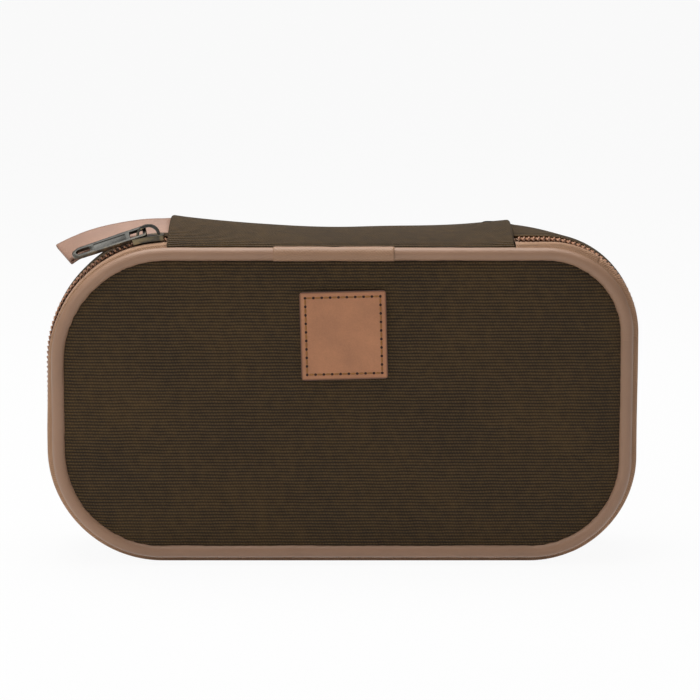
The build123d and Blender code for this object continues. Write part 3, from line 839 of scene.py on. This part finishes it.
class BAG_OT_coils(bpy.types.Operator):
    """Both halves of the nylon coil, loop by loop."""

    bl_idname = "bag.coils"
    bl_label = "Zip Coils"

    def execute(self, context):
        finish = coil_finish()
        chain_y = (LID_COIL_LOW.y + REAR_COIL_HIGH.y) / 2
        half = (REAR_COIL_HIGH.y - LID_COIL_LOW.y) / 2
        reach = half * 0.5 + 0.0003
        base = TAPE_OUTSIDE
        height = PIPING_LOW.z - LID_COIL_LOW.z - base
        points, faces = tooth_shape()
        groups = tooth_places(zip_run(0.0005, 0.0005), chain_y)
        for group, name, body, node in (
            ("rear", "rear_coil", "body", "rear_zip_coil"),
            ("lid", "lid_coil", "lid", "lid_zip_coil"),
            ("left", "lid_coil_end_left", None, "zip_end_coils"),
            ("right", "lid_coil_end_right", None, None),
        ):
            verts, quads, depth = [], [], []
            for spot, normal, tangent, side in groups[group]:
                for leg, (half_width, swell, middle, half_height, shift, slant) in enumerate(COIL_LEGS):
                    first = len(verts)
                    for point in points:
                        forward = point.y
                        head = 1.0 + swell * max(0.0, forward) ** 3
                        arch = -0.12 * height * forward ** 2
                        along = point.x * (half_width * head) + (shift + slant * forward)
                        out = base + height * middle + point.z * (height * half_height) + arch
                        place = spot + normal * out + tangent * along
                        place.y = chain_y + side * (half - reach - forward * reach)
                        verts.append(place)
                        # Painted shade for each point: lighter towards the outer face of the upper leg, dark
                        # all over the lower leg.
                        depth.append(0.5 + 0.5 * point.z if leg == 0 else 0.1)
                    quads.extend(tuple(first + v for v in face) for face in faces)
            piece = finish_mesh(name, verts, quads, [(v.x, v.z) for v in verts], finish)
            paint(piece, "depth", depth)
            if body:
                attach(piece, body)
            else:
                bend_end(piece, group)
            if node:
                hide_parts(node)
        return {"FINISHED"}


class BAG_OT_gusset(bpy.types.Operator):
    """Canvas gusset and crowned back panel, with a turned hem at the zip and a seam at the back."""

    bl_idname = "bag.gusset"
    bl_label = "Gusset and Back"

    def execute(self, context):
        finish = canvas_finish()
        bulge = PIPING_LOW.z - GUSSET_LOW.z
        start, seam = GUSSET_LOW.y, GUSSET_HIGH.y
        tuck_y = start + 0.004

        def share_at(y):
            return sizes().back_turn * limited((y - tuck_y) / (seam - tuck_y))

        def wall(station):
            row = []
            hem = ((0.0014, 0.0012), (0.0009, 0.0003), (0.0001, 0.0), (-0.0004, 0.0004), (-0.0005, 0.0012))
            for inset, depth in ((0.0016, 0.008), *hem):
                row.append(station.at(bulge - 0.0007 - inset, start + depth, share_at(start + depth)))
            steps, hem_end = 22, 0.002
            for step in range(steps + 1):
                share = step / steps
                y = start + hem_end + (seam - start - hem_end) * share
                lift = ripple(station.along, y, 0, 26) * 0.0005 * math.sin(math.pi * share)
                groove = -0.0004 * math.exp(-(((y - start - 0.0035) / 0.0006) ** 2))
                sides = 0.0006 * math.sin(math.pi * share) * abs(station.normal[0])
                tuck = -0.0012 * share ** 14
                flat = 0.0 if station.normal[1] < -0.5 else 1.0
                beside = max(0.0, station.normal[1]) * math.exp(-(((station.front[0] - 0.071) / 0.011) ** 2))
                rise = 0.0026 * beside * math.sin(math.pi * min(1.0, share * 0.78)) ** 2
                offset = bulge - 0.0004 * share ** 6 + (lift + sides) * flat + groove + tuck + rise
                row.append(station.at(offset, y, share_at(y)))
            return row

        piece = sweep("gusset_canvas", zip_run(), wall, finish, closed_run=False, closed_profile=False)
        dress(piece, "body", "canvas", "body_gusset", "gusset_padding")

        crown_height = BACK_HIGH.y - BACK_LOW.y
        crown_width, crown_steps, inner_steps = 0.018, 10, 8
        edge = bulge - 0.0004
        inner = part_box("back_lining")[1].y + 0.0003

        def crown(station):
            turn = sizes().back_turn
            row = [station.at(edge - 0.0045, inner, turn, 0), station.at(edge - 0.0045, inner, turn)]
            row.append(station.at(edge - 0.0010, BACK_LOW.y - 0.0009, turn))
            for step in range(1, crown_steps + 1):
                angle = math.pi / 2 * step / crown_steps
                inset = crown_width * (1 - math.cos(angle))
                y = BACK_LOW.y + crown_height * math.sin(angle)
                point = station.at(edge - inset - 0.0006, y, turn)
                point.y -= abs(ripple(*point, 40)) * 0.0007 * math.exp(-inset / 0.006)
                row.append(point)
            for step in range(1, inner_steps + 1):
                point = station.at(edge - 0.0186, BACK_HIGH.y, turn, 1 - step / inner_steps)
                point.y -= 0.0003 * abs(ripple(*point, 24))
                row.append(point)
            return row

        back = sweep("back_canvas", full_loop(), crown, finish, closed_profile=False, across=flat_uv)
        face_out(back)
        dress(back, "body", "canvas", "back_panel", "back_padding")
        return {"FINISHED"}


class BAG_OT_hinge_strip(bpy.types.Operator):
    """Canvas strip over the hinge, with folded ends, sewn to the lid in front."""

    bl_idname = "bag.hinge_strip"
    bl_label = "Hinge Strip"

    def execute(self, context):
        left, right = HINGE_LOW.x, HINGE_HIGH.x
        crests = (0.0082, 0.0030, 0.0054)
        rears = (0.0049, 0.0018, 0.0046)
        front_y, rear_y = HINGE_LOW.y - 0.0009, HINGE_HIGH.y
        rows = 96
        fold, fold_drop = 0.0013, 0.0016
        lowest = TOP_Z + 0.0004

        def quadratic(values, share):
            """A curve through three values: at the left end, in the middle and at the right end."""
            at_left, at_middle, at_right = values
            curve = at_left * (1 - share) * (1 - 2 * share) + at_middle * 4 * share * (1 - share)
            return curve + at_right * share * (2 * share - 1)

        def section(share):
            crest, rear = quadratic(crests, share), quadratic(rears, share)
            row = [(front_y, TOP_Z - 0.0026), (front_y - 0.0002, TOP_Z - 0.0012)]
            steps = 30
            for step in range(steps + 1):
                t = step / steps
                y = front_y + (rear_y - front_y) * t
                z = -0.0004 * (1 - t) + rear * t + 4 * (crest - rear / 2) * t * (1 - t)
                z += 0.0010 * (1 - math.exp(-t / 0.03)) * (1 - t)
                row.append((y, TOP_Z + z))
            row.append((rear_y + 0.0004, TOP_Z + rear - 0.0016))
            row.append((rear_y, lowest))
            return row

        verts = []
        uvs = []
        span = right - left - 2 * fold
        middles = [(left + fold + span * number / rows, 0.0) for number in range(rows + 1)]
        ends = [(0.0, 1.0), (0.0, 0.72), (0.00012, 0.42), (0.0004, 0.2), (0.0008, 0.06)]
        lefts = [(left + inset, drop) for inset, drop in ends]
        rights = [(right - inset, drop) for inset, drop in reversed(ends)]
        cuts = lefts + middles + rights
        for x, drop in cuts:
            row = section(limited((x - left) / (right - left)))
            width = len(row)
            along = 0.0
            previous = None
            for y, z in row:
                if drop == 1.0:
                    z = min(z, lowest)
                elif drop > 0:
                    z = z - drop * fold_drop if z - drop * fold_drop > lowest else min(z, lowest)
                point = Vector((x, y, z))
                near_end = math.exp(-min(x - left, right - x) / 0.006)
                point.z += ripple(x, y, 0, 30) * 0.0005 + ripple(x, y, 0, 80, 3) * 0.0005 * near_end
                if previous is not None:
                    along += (point - previous).length
                previous = point
                verts.append(point)
                uvs.append((x, along))
        faces = []
        for r in range(len(cuts) - 1):
            for c in range(width - 1):
                a, b = r * width + c, r * width + c + 1
                faces.append((a, b, b + width, a + width))
        piece = finish_mesh("hinge_canvas", verts, faces, uvs, canvas_finish())
        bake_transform(piece)
        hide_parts("hinge_gusset")
        return {"FINISHED"}


def panel_lining(name, node, body, share, finish):
    """Lining behind the lid's or the back's padding, loose and slightly puckered."""
    low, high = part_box(node)
    edge = high.x - HALF_W
    rings = [(edge, 1.0), (edge - 0.004, 1.0), (edge - 0.012, 1.0)]
    rings += [(edge - 0.02, 1 - step / 5) for step in range(0, 6)]

    def profile(station):
        row = []
        for y in (low.y, high.y):
            part = []
            for offset, scale in rings:
                point = station.at(offset, y, share, scale)
                pucker = ripple(*point, 22) * 0.0004 + ripple(*point, 70, 2) * 0.0001
                point.y -= abs(pucker) if offset < edge else 0.0
                part.append(point)
            row += part if y == high.y else part[::-1]
        return row

    piece = sweep(name, full_loop(), profile, finish, closed_profile=False, across=flat_uv)
    face_out(piece)
    dress(piece, body, "lining", node)


def gusset_lining(finish):
    """Lining of the sides and the bottom."""
    low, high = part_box("gusset_lining")
    inset = PIPING_LOW.z - low.z
    steps, thick = 12, 0.0006

    def wall(station):
        row = []
        for layer in (0, 1):
            part = []
            for step in range(steps + 1):
                share = step / steps
                y = low.y + (high.y - low.y) * share
                turn = sizes().back_turn * limited((y - low.y) / (GUSSET_HIGH.y - low.y))
                offset = inset - thick * layer + ripple(station.along, y, layer, 30) * 0.0003
                offset -= 0.0003 * share
                part.append(station.at(offset - 0.0002, y, turn))
            row += part if layer == 0 else part[::-1]
        return row

    piece = sweep("gusset_lining_cloth", zip_run(), wall, finish, closed_run=False)
    face_out(piece)
    dress(piece, "body", "lining", "gusset_lining")


def hinge_lining(finish):
    """Lining under the hinge strip, a closed sheet of two layers."""
    low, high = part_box("hinge_lining")
    columns, rows = 40, 16
    verts = []
    for layer_z in (low.z, high.z):
        for i in range(columns + 1):
            for j in range(rows + 1):
                x = low.x + (high.x - low.x) * i / columns
                y = low.y + (high.y - low.y) * j / rows
                verts.append(Vector((x, y, layer_z + ripple(x, y, 0, 30) * 0.0003)))
    faces = []
    step = (columns + 1) * (rows + 1)
    for i in range(columns):
        for j in range(rows):
            a = i * (rows + 1) + j
            quad = (a, a + 1, a + rows + 2, a + rows + 1)
            faces.append(quad)
            faces.append(tuple(v + step for v in reversed(quad)))
    rim = [i * (rows + 1) for i in range(columns + 1)]
    rim += [columns * (rows + 1) + j for j in range(1, rows + 1)]
    rim += [i * (rows + 1) + rows for i in range(columns - 1, -1, -1)]
    rim += list(range(rows - 1, 0, -1))
    for a, b in zip(rim, rim[1:] + rim[:1]):
        faces.append((a, b, b + step, a + step))
    piece = finish_mesh("hinge_lining_cloth", verts, faces, [(v.x, v.y) for v in verts], finish)
    face_out(piece)
    dress(piece, "body", "lining", "hinge_lining")


def lid_binding(finish):
    """Binding tape folded round the lid's seam inside the bag."""
    low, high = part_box("lid_binding")
    outer = high.x - HALF_W
    inner = outer - 0.0057

    def bound(station):
        swell = 0.00012 * ripple(station.along, 0, 0, 90)
        points = (
            (outer, high.y - 0.0004),
            (outer - 0.0004, high.y + swell),
            (inner + 0.0009, high.y + swell),
            (inner + 0.0002, high.y - 0.0006),
            (inner, high.y - 0.0013),
            (inner, low.y + 0.0001),
            (inner + 0.0006, low.y + 0.0001),
            (inner + 0.0006, high.y - 0.0006),
            (outer, high.y - 0.0006),
        )
        return [station.at(offset, y) for offset, y in points]

    piece = sweep("lid_binding_tape", full_loop(), bound, finish)
    face_out(piece)
    dress(piece, "lid", "binding", "lid_binding")


class BAG_OT_linings(bpy.types.Operator):
    """Lining cloth and the binding tape inside the bag."""

    bl_idname = "bag.linings"
    bl_label = "Linings"

    def execute(self, context):
        finish = lining_finish()
        panel_lining("lid_lining_cloth", "lid_lining", "lid", 0.0, finish)
        panel_lining("back_lining_cloth", "back_lining", "body", sizes().back_turn, finish)
        gusset_lining(finish)
        hinge_lining(finish)
        lid_binding(finish)
        return {"FINISHED"}


class BAG_OT_badge(bpy.types.Operator):
    """Bare leather badge with a burnt edge, sewn down with waxed thread."""

    bl_idname = "bag.badge"
    bl_label = "Badge"

    def execute(self, context):
        turn = math.radians(1.5)
        width, height, thick = 0.035, 0.036, BADGE_HIGH.y - BADGE_LOW.y
        corner_radius, rim_height, rim_inset = 0.0016, 0.00016, 0.00022
        middle = (BADGE_LOW + BADGE_HIGH) / 2
        spin = Matrix.Rotation(-turn, 4, "Y")
        bpy.ops.object.select_all(action="DESELECT")
        bpy.ops.mesh.primitive_plane_add(size=1.0, rotation=(math.pi / 2, 0, 0))
        patch = bpy.context.object
        patch.name = "badge_leather"
        bpy.ops.object.transform_apply(location=False, rotation=True, scale=False)
        patch.data.transform(Matrix.Diagonal((width, 1, height, 1)))
        bpy.ops.object.mode_set(mode="EDIT")
        bpy.ops.mesh.select_all(action="SELECT")
        bpy.ops.transform.translate(value=(0, thick / 2, 0))
        bpy.ops.mesh.bevel(offset=corner_radius, segments=6, affect="VERTICES")
        bpy.ops.mesh.extrude_region_move(TRANSFORM_OT_translate={"value": (0, rim_height - thick, 0)})
        bpy.ops.mesh.inset(thickness=rim_inset, depth=rim_height)
        for thickness in (0.00035, 0.0004, 0.0004):
            bpy.ops.mesh.inset(thickness=thickness, depth=0.0)
        bpy.ops.mesh.select_all(action="SELECT")
        bpy.ops.mesh.normals_make_consistent(inside=False)
        bpy.ops.object.mode_set(mode="OBJECT")
        for polygon in patch.data.polygons:
            polygon.use_smooth = False
        rim_width = 0.0009
        shades = []
        for vertex in patch.data.vertices:
            rim = min(width / 2 - abs(vertex.co.x), height / 2 - abs(vertex.co.z))
            shades.append(max(0.0, 1.0 - rim / rim_width) if vertex.co.y < 0 else 1.0)
        paint(patch, "edge", shades)
        patch.data.transform(Matrix.Translation(middle) @ spin)
        patch.data.materials.append(leather_finish("badge_tan_leather", colours().leather, colours().burnt))
        dress(patch, "lid", "leather", "badge")

        inset = 0.0024
        half_x, half_z = width / 2 - inset, height / 2 - inset
        pitch = sizes().stitch_pitch
        surface = -thick / 2 - 0.00004
        bpy.ops.object.select_all(action="DESELECT")
        bpy.ops.mesh.primitive_uv_sphere_add(segments=10, ring_count=8, radius=1.0)
        bead = bpy.context.object
        bead.data.transform(Matrix.Rotation(math.pi / 2, 4, "Y"))
        points, faces = take_shape(bead)
        stitches, stitch_faces, holes, hole_faces = [], [], [], []
        corners = [(-half_x, half_z), (half_x, half_z), (half_x, -half_z), (-half_x, -half_z)]
        for number, start in enumerate(corners):
            end = corners[(number + 1) % 4]
            along = Vector((end[0] - start[0], 0, end[1] - start[1]))
            count = round(along.length / pitch)
            step = along / count
            direction = step.normalized()
            side = direction.cross(Vector((0, 1, 0)))
            for index in range(count):
                spot = Vector((start[0], 0, start[1])) + step * (index + 0.5)
                lean = 0.10 * ripple(index, number, 0, 7.3)
                first = len(stitches)
                for p in points:
                    place = spot + direction * p.x * pitch * 0.36 + side * (p.y + lean * p.x) * 0.00042
                    place.y = surface - (p.z * 0.00026) + 0.0001 * p.x ** 4
                    stitches.append(place)
                stitch_faces += [tuple(first + v for v in face) for face in faces]
                # Each needle hole is a dark disc on the surface: painted shade inside the hole.
                spot = Vector((start[0], 0, start[1])) + step * index
                first = len(holes)
                for p in points:
                    place = spot + direction * p.x * 0.00062 + side * p.y * 0.00052
                    place.y = surface + 0.00002 - p.z * 0.00010
                    holes.append(place)
                hole_faces += [tuple(first + v for v in face) for face in faces]
        for name, verts, quads, finish in (
            ("badge_stitches", stitches, stitch_faces, thread_finish()),
            ("badge_needle_hole_shade", holes, hole_faces, painted_hole_shade_finish()),
        ):
            piece = finish_mesh(name, verts, quads, [(v.x, v.z) for v in verts], finish)
            piece.data.transform(Matrix.Translation(middle) @ spin)
            face_out(piece)
            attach(piece, "lid")
        return {"FINISHED"}


class BAG_OT_strap(bpy.types.Operator):
    """Wrist strap of folded leather, with raw cut edges."""

    bl_idname = "bag.strap"
    bl_label = "Wrist Strap"

    def execute(self, context):
        joint = JOINTS["strap_swing"]
        root = Vector(joint["pos_m"])
        axis_y = Vector(joint["axis"]).normalized()
        axis_z = Vector((1, 0, 0)).cross(axis_y).normalized()
        axis_x = axis_y.cross(axis_z)
        radius, length, width = 0.085, 0.046, 0.014
        leather, gap = 0.00115, 0.00008
        centre = leather / 2 + gap
        span = length / radius
        path = []
        steps, fold_steps = 40, 8
        for step in range(steps + 1):
            angle = span * step / steps
            path.append((radius + centre, angle, 1))
        for step in range(1, fold_steps):
            turn = math.pi * step / fold_steps
            path.append((radius + centre * math.cos(turn), span, math.sin(turn)))
        for step in range(steps, -1, -1):
            angle = span * step / steps
            path.append((radius - centre, angle, -1))
        sag, tail, fold_slant = 0.0033, 0.0042, 0.0055
        points = [Vector((tail, 0, centre))]
        for reach, angle, side in path:
            bulge = centre * side if angle == span and abs(side) < 1 else 0.0
            x = -reach * math.sin(angle) - bulge * math.cos(angle)
            z = reach * math.cos(angle) - radius - bulge * math.sin(angle)
            points.append(Vector((x, 0, z)))
        points.append(Vector((tail, 0, -centre)))
        across = 10
        verts, uvs, edges = [], [], []
        along = 0.0
        for number, point in enumerate(points):
            before = points[max(0, number - 1)]
            after = points[min(len(points) - 1, number + 1)]
            tangent = (after - before).normalized()
            normal = Vector((0, 1, 0)).cross(tangent)
            if number:
                along += (point - before).length
            ring = []
            for layer in (0.5, -0.5):
                for column in range(across + 1):
                    share = column / across if layer > 0 else 1 - column / across
                    y = (share - 0.5) * width * 0.985
                    edge = max(0.0, abs(share - 0.5) * 2 - 0.9) * 10
                    rough = 0.00012 * ripple(along, share, layer, 400) * edge
                    depth = leather * layer * (1 - 0.25 * edge ** 3)
                    wave = 0.0002 * ripple(along, y, 0, 60)
                    place = point + normal * (depth + wave) + Vector((0, y + rough, 0))
                    out = max(0.0, -place.x) / length
                    place.x += fold_slant * (0.5 - y / width) * out ** 3
                    spot = root + axis_x * place.x + axis_y * place.y + axis_z * place.z
                    spot.z -= sag * (1 - out)
                    ring.append(spot)
                    uvs.append((along, y))
                    edges.append(edge)
            verts += ring
        count = 2 * (across + 1)
        faces = []
        for r in range(len(points) - 1):
            for c in range(count):
                a, b = r * count + c, r * count + (c + 1) % count
                faces.append((a, b, b + count, a + count))
        faces.append(tuple(range(count))[::-1])
        faces.append(tuple((len(points) - 1) * count + c for c in range(count)))
        finish = leather_finish("strap_smooth_leather", colours().strap, tinted(colours().strap, 0.7))
        piece = finish_mesh("wrist_strap", verts, faces, uvs, finish)
        paint(piece, "edge", edges)
        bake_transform(piece)
        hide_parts("strap_loop")
        return {"FINISHED"}


class BAG_OT_hardware(bpy.types.Operator):
    """Cast slider and pull, with softened edges and an antique finish."""

    bl_idname = "bag.hardware"
    bl_label = "Slider and Pull"

    def execute(self, context):
        for node, name, body, width, wear in (
            ("slider_body", "slider_casting", "zip_slider", 0.00022, 0.8),
            ("slider_base", "slider_lower_plate", "zip_slider", 0.00015, 0.4),
            ("pull_tab", "pull_casting", "pull", 0.00026, 1.0),
        ):
            source = frame["nodes"][node]
            mesh = source.data.copy()
            mesh.name = name
            piece = bpy.data.objects.new(name, mesh)
            context.scene.collection.objects.link(piece)
            work = bmesh.new()
            work.from_mesh(mesh)
            bmesh.ops.remove_doubles(work, verts=work.verts, dist=2e-6)
            flat = math.radians(4)
            bmesh.ops.dissolve_limit(work, angle_limit=flat, verts=work.verts, edges=work.edges)
            work.to_mesh(mesh)
            work.free()
            if node == "pull_tab":
                pivot = Vector(JOINTS["pull_swing"]["pos_m"])
                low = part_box(node)[0]
                far = Vector((low.x, pivot.y, low.z + 0.0012))
                lean = Matrix.Rotation(math.radians(-30), 4, (far - pivot).normalized())
                lift = Matrix.Rotation(math.radians(2.2), 4, "Y")
                mesh.transform(Matrix.Translation(pivot) @ lift @ lean @ Matrix.Translation(-pivot))
            mesh.materials.clear()
            mesh.materials.append(gunmetal_finish(f"{name}_gunmetal", wear))
            sharp = math.radians(35)
            apply_modifier(piece, "BEVEL", width=width, segments=3, limit_method="ANGLE", angle_limit=sharp)
            bpy.ops.object.select_all(action="DESELECT")
            piece.select_set(True)
            context.view_layer.objects.active = piece
            bpy.ops.object.shade_smooth_by_angle(angle=math.radians(40))
            piece.select_set(False)
            dress(piece, body, "gunmetal", node)
        return {"FINISHED"}


def mixed_shaders(tree, rays, plain, shown, surface):
    """Feeds a surface with one shader, and with the other as far as the rays ask for it."""
    mixer = tree.nodes.new("ShaderNodeMixShader")
    tree.links.new(rays.socket, mixer.inputs[0])
    tree.links.new(plain.outputs[0], mixer.inputs[1])
    tree.links.new(shown.outputs[0], mixer.inputs[2])
    tree.links.new(mixer.outputs[0], surface)


def studio_floor():
    """A pale floor that the camera sees nearly white, with the object's shadow on it."""
    bpy.ops.object.select_all(action="DESELECT")
    bpy.ops.mesh.primitive_plane_add(size=60.0, location=(0, 0, 0))
    floor = bpy.context.object
    floor.name = "studio_floor"
    finish = Finish("studio_white", roughness=0.9)
    finish.shader.inputs["Base Color"].default_value = (0.86, 0.86, 0.86, 1)
    path = finish.tree.nodes.new("ShaderNodeLightPath")
    glow = finish.tree.nodes.new("ShaderNodeEmission")
    glow.inputs["Color"].default_value = (1, 1, 1, 1)
    camera, glossy = path.outputs["Is Camera Ray"], path.outputs["Is Glossy Ray"]
    rays = (Val(finish.tree, camera) + Val(finish.tree, glossy)).clamp() * 0.94
    surface = finish.tree.nodes["Material Output"].inputs["Surface"]
    mixed_shaders(finish.tree, rays, finish.shader, glow, surface)
    floor.data.materials.append(finish.material)


def studio_world():
    """Weak even light, with a brighter background for the camera."""
    world = bpy.data.worlds.new("studio_world")
    bpy.context.scene.world = world
    world.use_nodes = True
    tree = world.node_tree
    back = tree.nodes["Background"]
    back.inputs["Color"].default_value = (1, 1, 1, 1)
    back.inputs["Strength"].default_value = 0.16
    bright = tree.nodes.new("ShaderNodeBackground")
    bright.inputs["Strength"].default_value = 0.96
    path = tree.nodes.new("ShaderNodeLightPath")
    camera, transmission = path.outputs["Is Camera Ray"], path.outputs["Is Transmission Ray"]
    rays = (Val(tree, camera) + Val(tree, transmission)).clamp()
    mixed_shaders(tree, rays, back, bright, tree.nodes["World Output"].inputs["Surface"])


def studio_lamps():
    """A large soft lamp overhead, one at the left and a weak one at the right."""
    aim = Vector((0, 0, 0.06))
    for name, place, size, power in (
        ("top_softbox", (-0.10, 0.12, 0.95), 0.9, 9.5),
        ("left_softbox", (-0.85, -0.75, 0.70), 0.6, 3.0),
        ("right_fill", (0.9, -1.0, 0.45), 0.9, 0.5),
    ):
        lamp = bpy.data.lights.new(name, "AREA")
        lamp.size = size
        lamp.energy = power
        holder = bpy.data.objects.new(name, lamp)
        holder.location = place
        holder.rotation_euler = (aim - Vector(place)).to_track_quat("-Z", "Y").to_euler()
        bpy.context.scene.collection.objects.link(holder)


def product_camera():
    """The camera at the photograph's angle, where the frame is this wide at the piping."""
    distance, width, sensor = 1.2, 0.2826, 36.0
    elevation = math.radians(9.6)
    middle = Vector((0.0, PIPING_LOW.y, MIDDLE_Z))
    view = Vector((0, math.cos(elevation), -math.sin(elevation)))
    up = Vector((0, math.sin(elevation), math.cos(elevation)))
    target = middle + Vector((PHOTO_RIGHT * width / PHOTO_SIZE, 0, 0)) + up * (PHOTO_UP * width / PHOTO_SIZE)
    camera_data = bpy.data.cameras.new("product_camera")
    camera_data.sensor_width = sensor
    camera_data.lens = sensor * distance / width
    camera = bpy.data.objects.new("product_camera", camera_data)
    camera.location = target - view * distance
    camera.rotation_euler = view.to_track_quat("-Z", "Y").to_euler()
    bpy.context.scene.collection.objects.link(camera)
    bpy.context.scene.camera = camera


class BAG_OT_stage(bpy.types.Operator):
    """Pale floor, soft studio lights and the camera."""

    bl_idname = "bag.stage"
    bl_label = "Stage"

    def execute(self, context):
        studio_floor()
        studio_world()
        studio_lamps()
        product_camera()
        context.scene.view_settings.view_transform = "Standard"
        return {"FINISHED"}


class BAG_PT_panel(bpy.types.Panel):
    """Lists the bag's pieces."""

    bl_label = "Cosmetic Bag"
    bl_idname = "BAG_PT_panel"
    bl_space_type = "VIEW_3D"
    bl_region_type = "UI"
    bl_category = "Cosmetic Bag"

    def draw(self, context):
        for operator in PIECES:
            self.layout.operator(operator.bl_idname)


PIECES = (
    BAG_OT_lid_canvas,
    BAG_OT_piping,
    BAG_OT_piping_join,
    BAG_OT_tapes,
    BAG_OT_coils,
    BAG_OT_gusset,
    BAG_OT_hinge_strip,
    BAG_OT_linings,
    BAG_OT_badge,
    BAG_OT_strap,
    BAG_OT_hardware,
    BAG_OT_stage,
)
CLASSES = (BagSizes, BagColours, *PIECES, BAG_PT_panel)


def register():
    for cls in CLASSES:
        bpy.utils.register_class(cls)
    bpy.types.Scene.bag_sizes = PointerProperty(type=BagSizes)
    bpy.types.Scene.bag_colours = PointerProperty(type=BagColours)


def unregister():
    del bpy.types.Scene.bag_colours
    del bpy.types.Scene.bag_sizes
    for cls in reversed(CLASSES):
        bpy.utils.unregister_class(cls)


def main():
    register()
    for piece in PIECES:
        group, name = piece.bl_idname.split(".")
        getattr(getattr(bpy.ops, group), name)()
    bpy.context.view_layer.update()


if __name__ == "__main__":
    main()
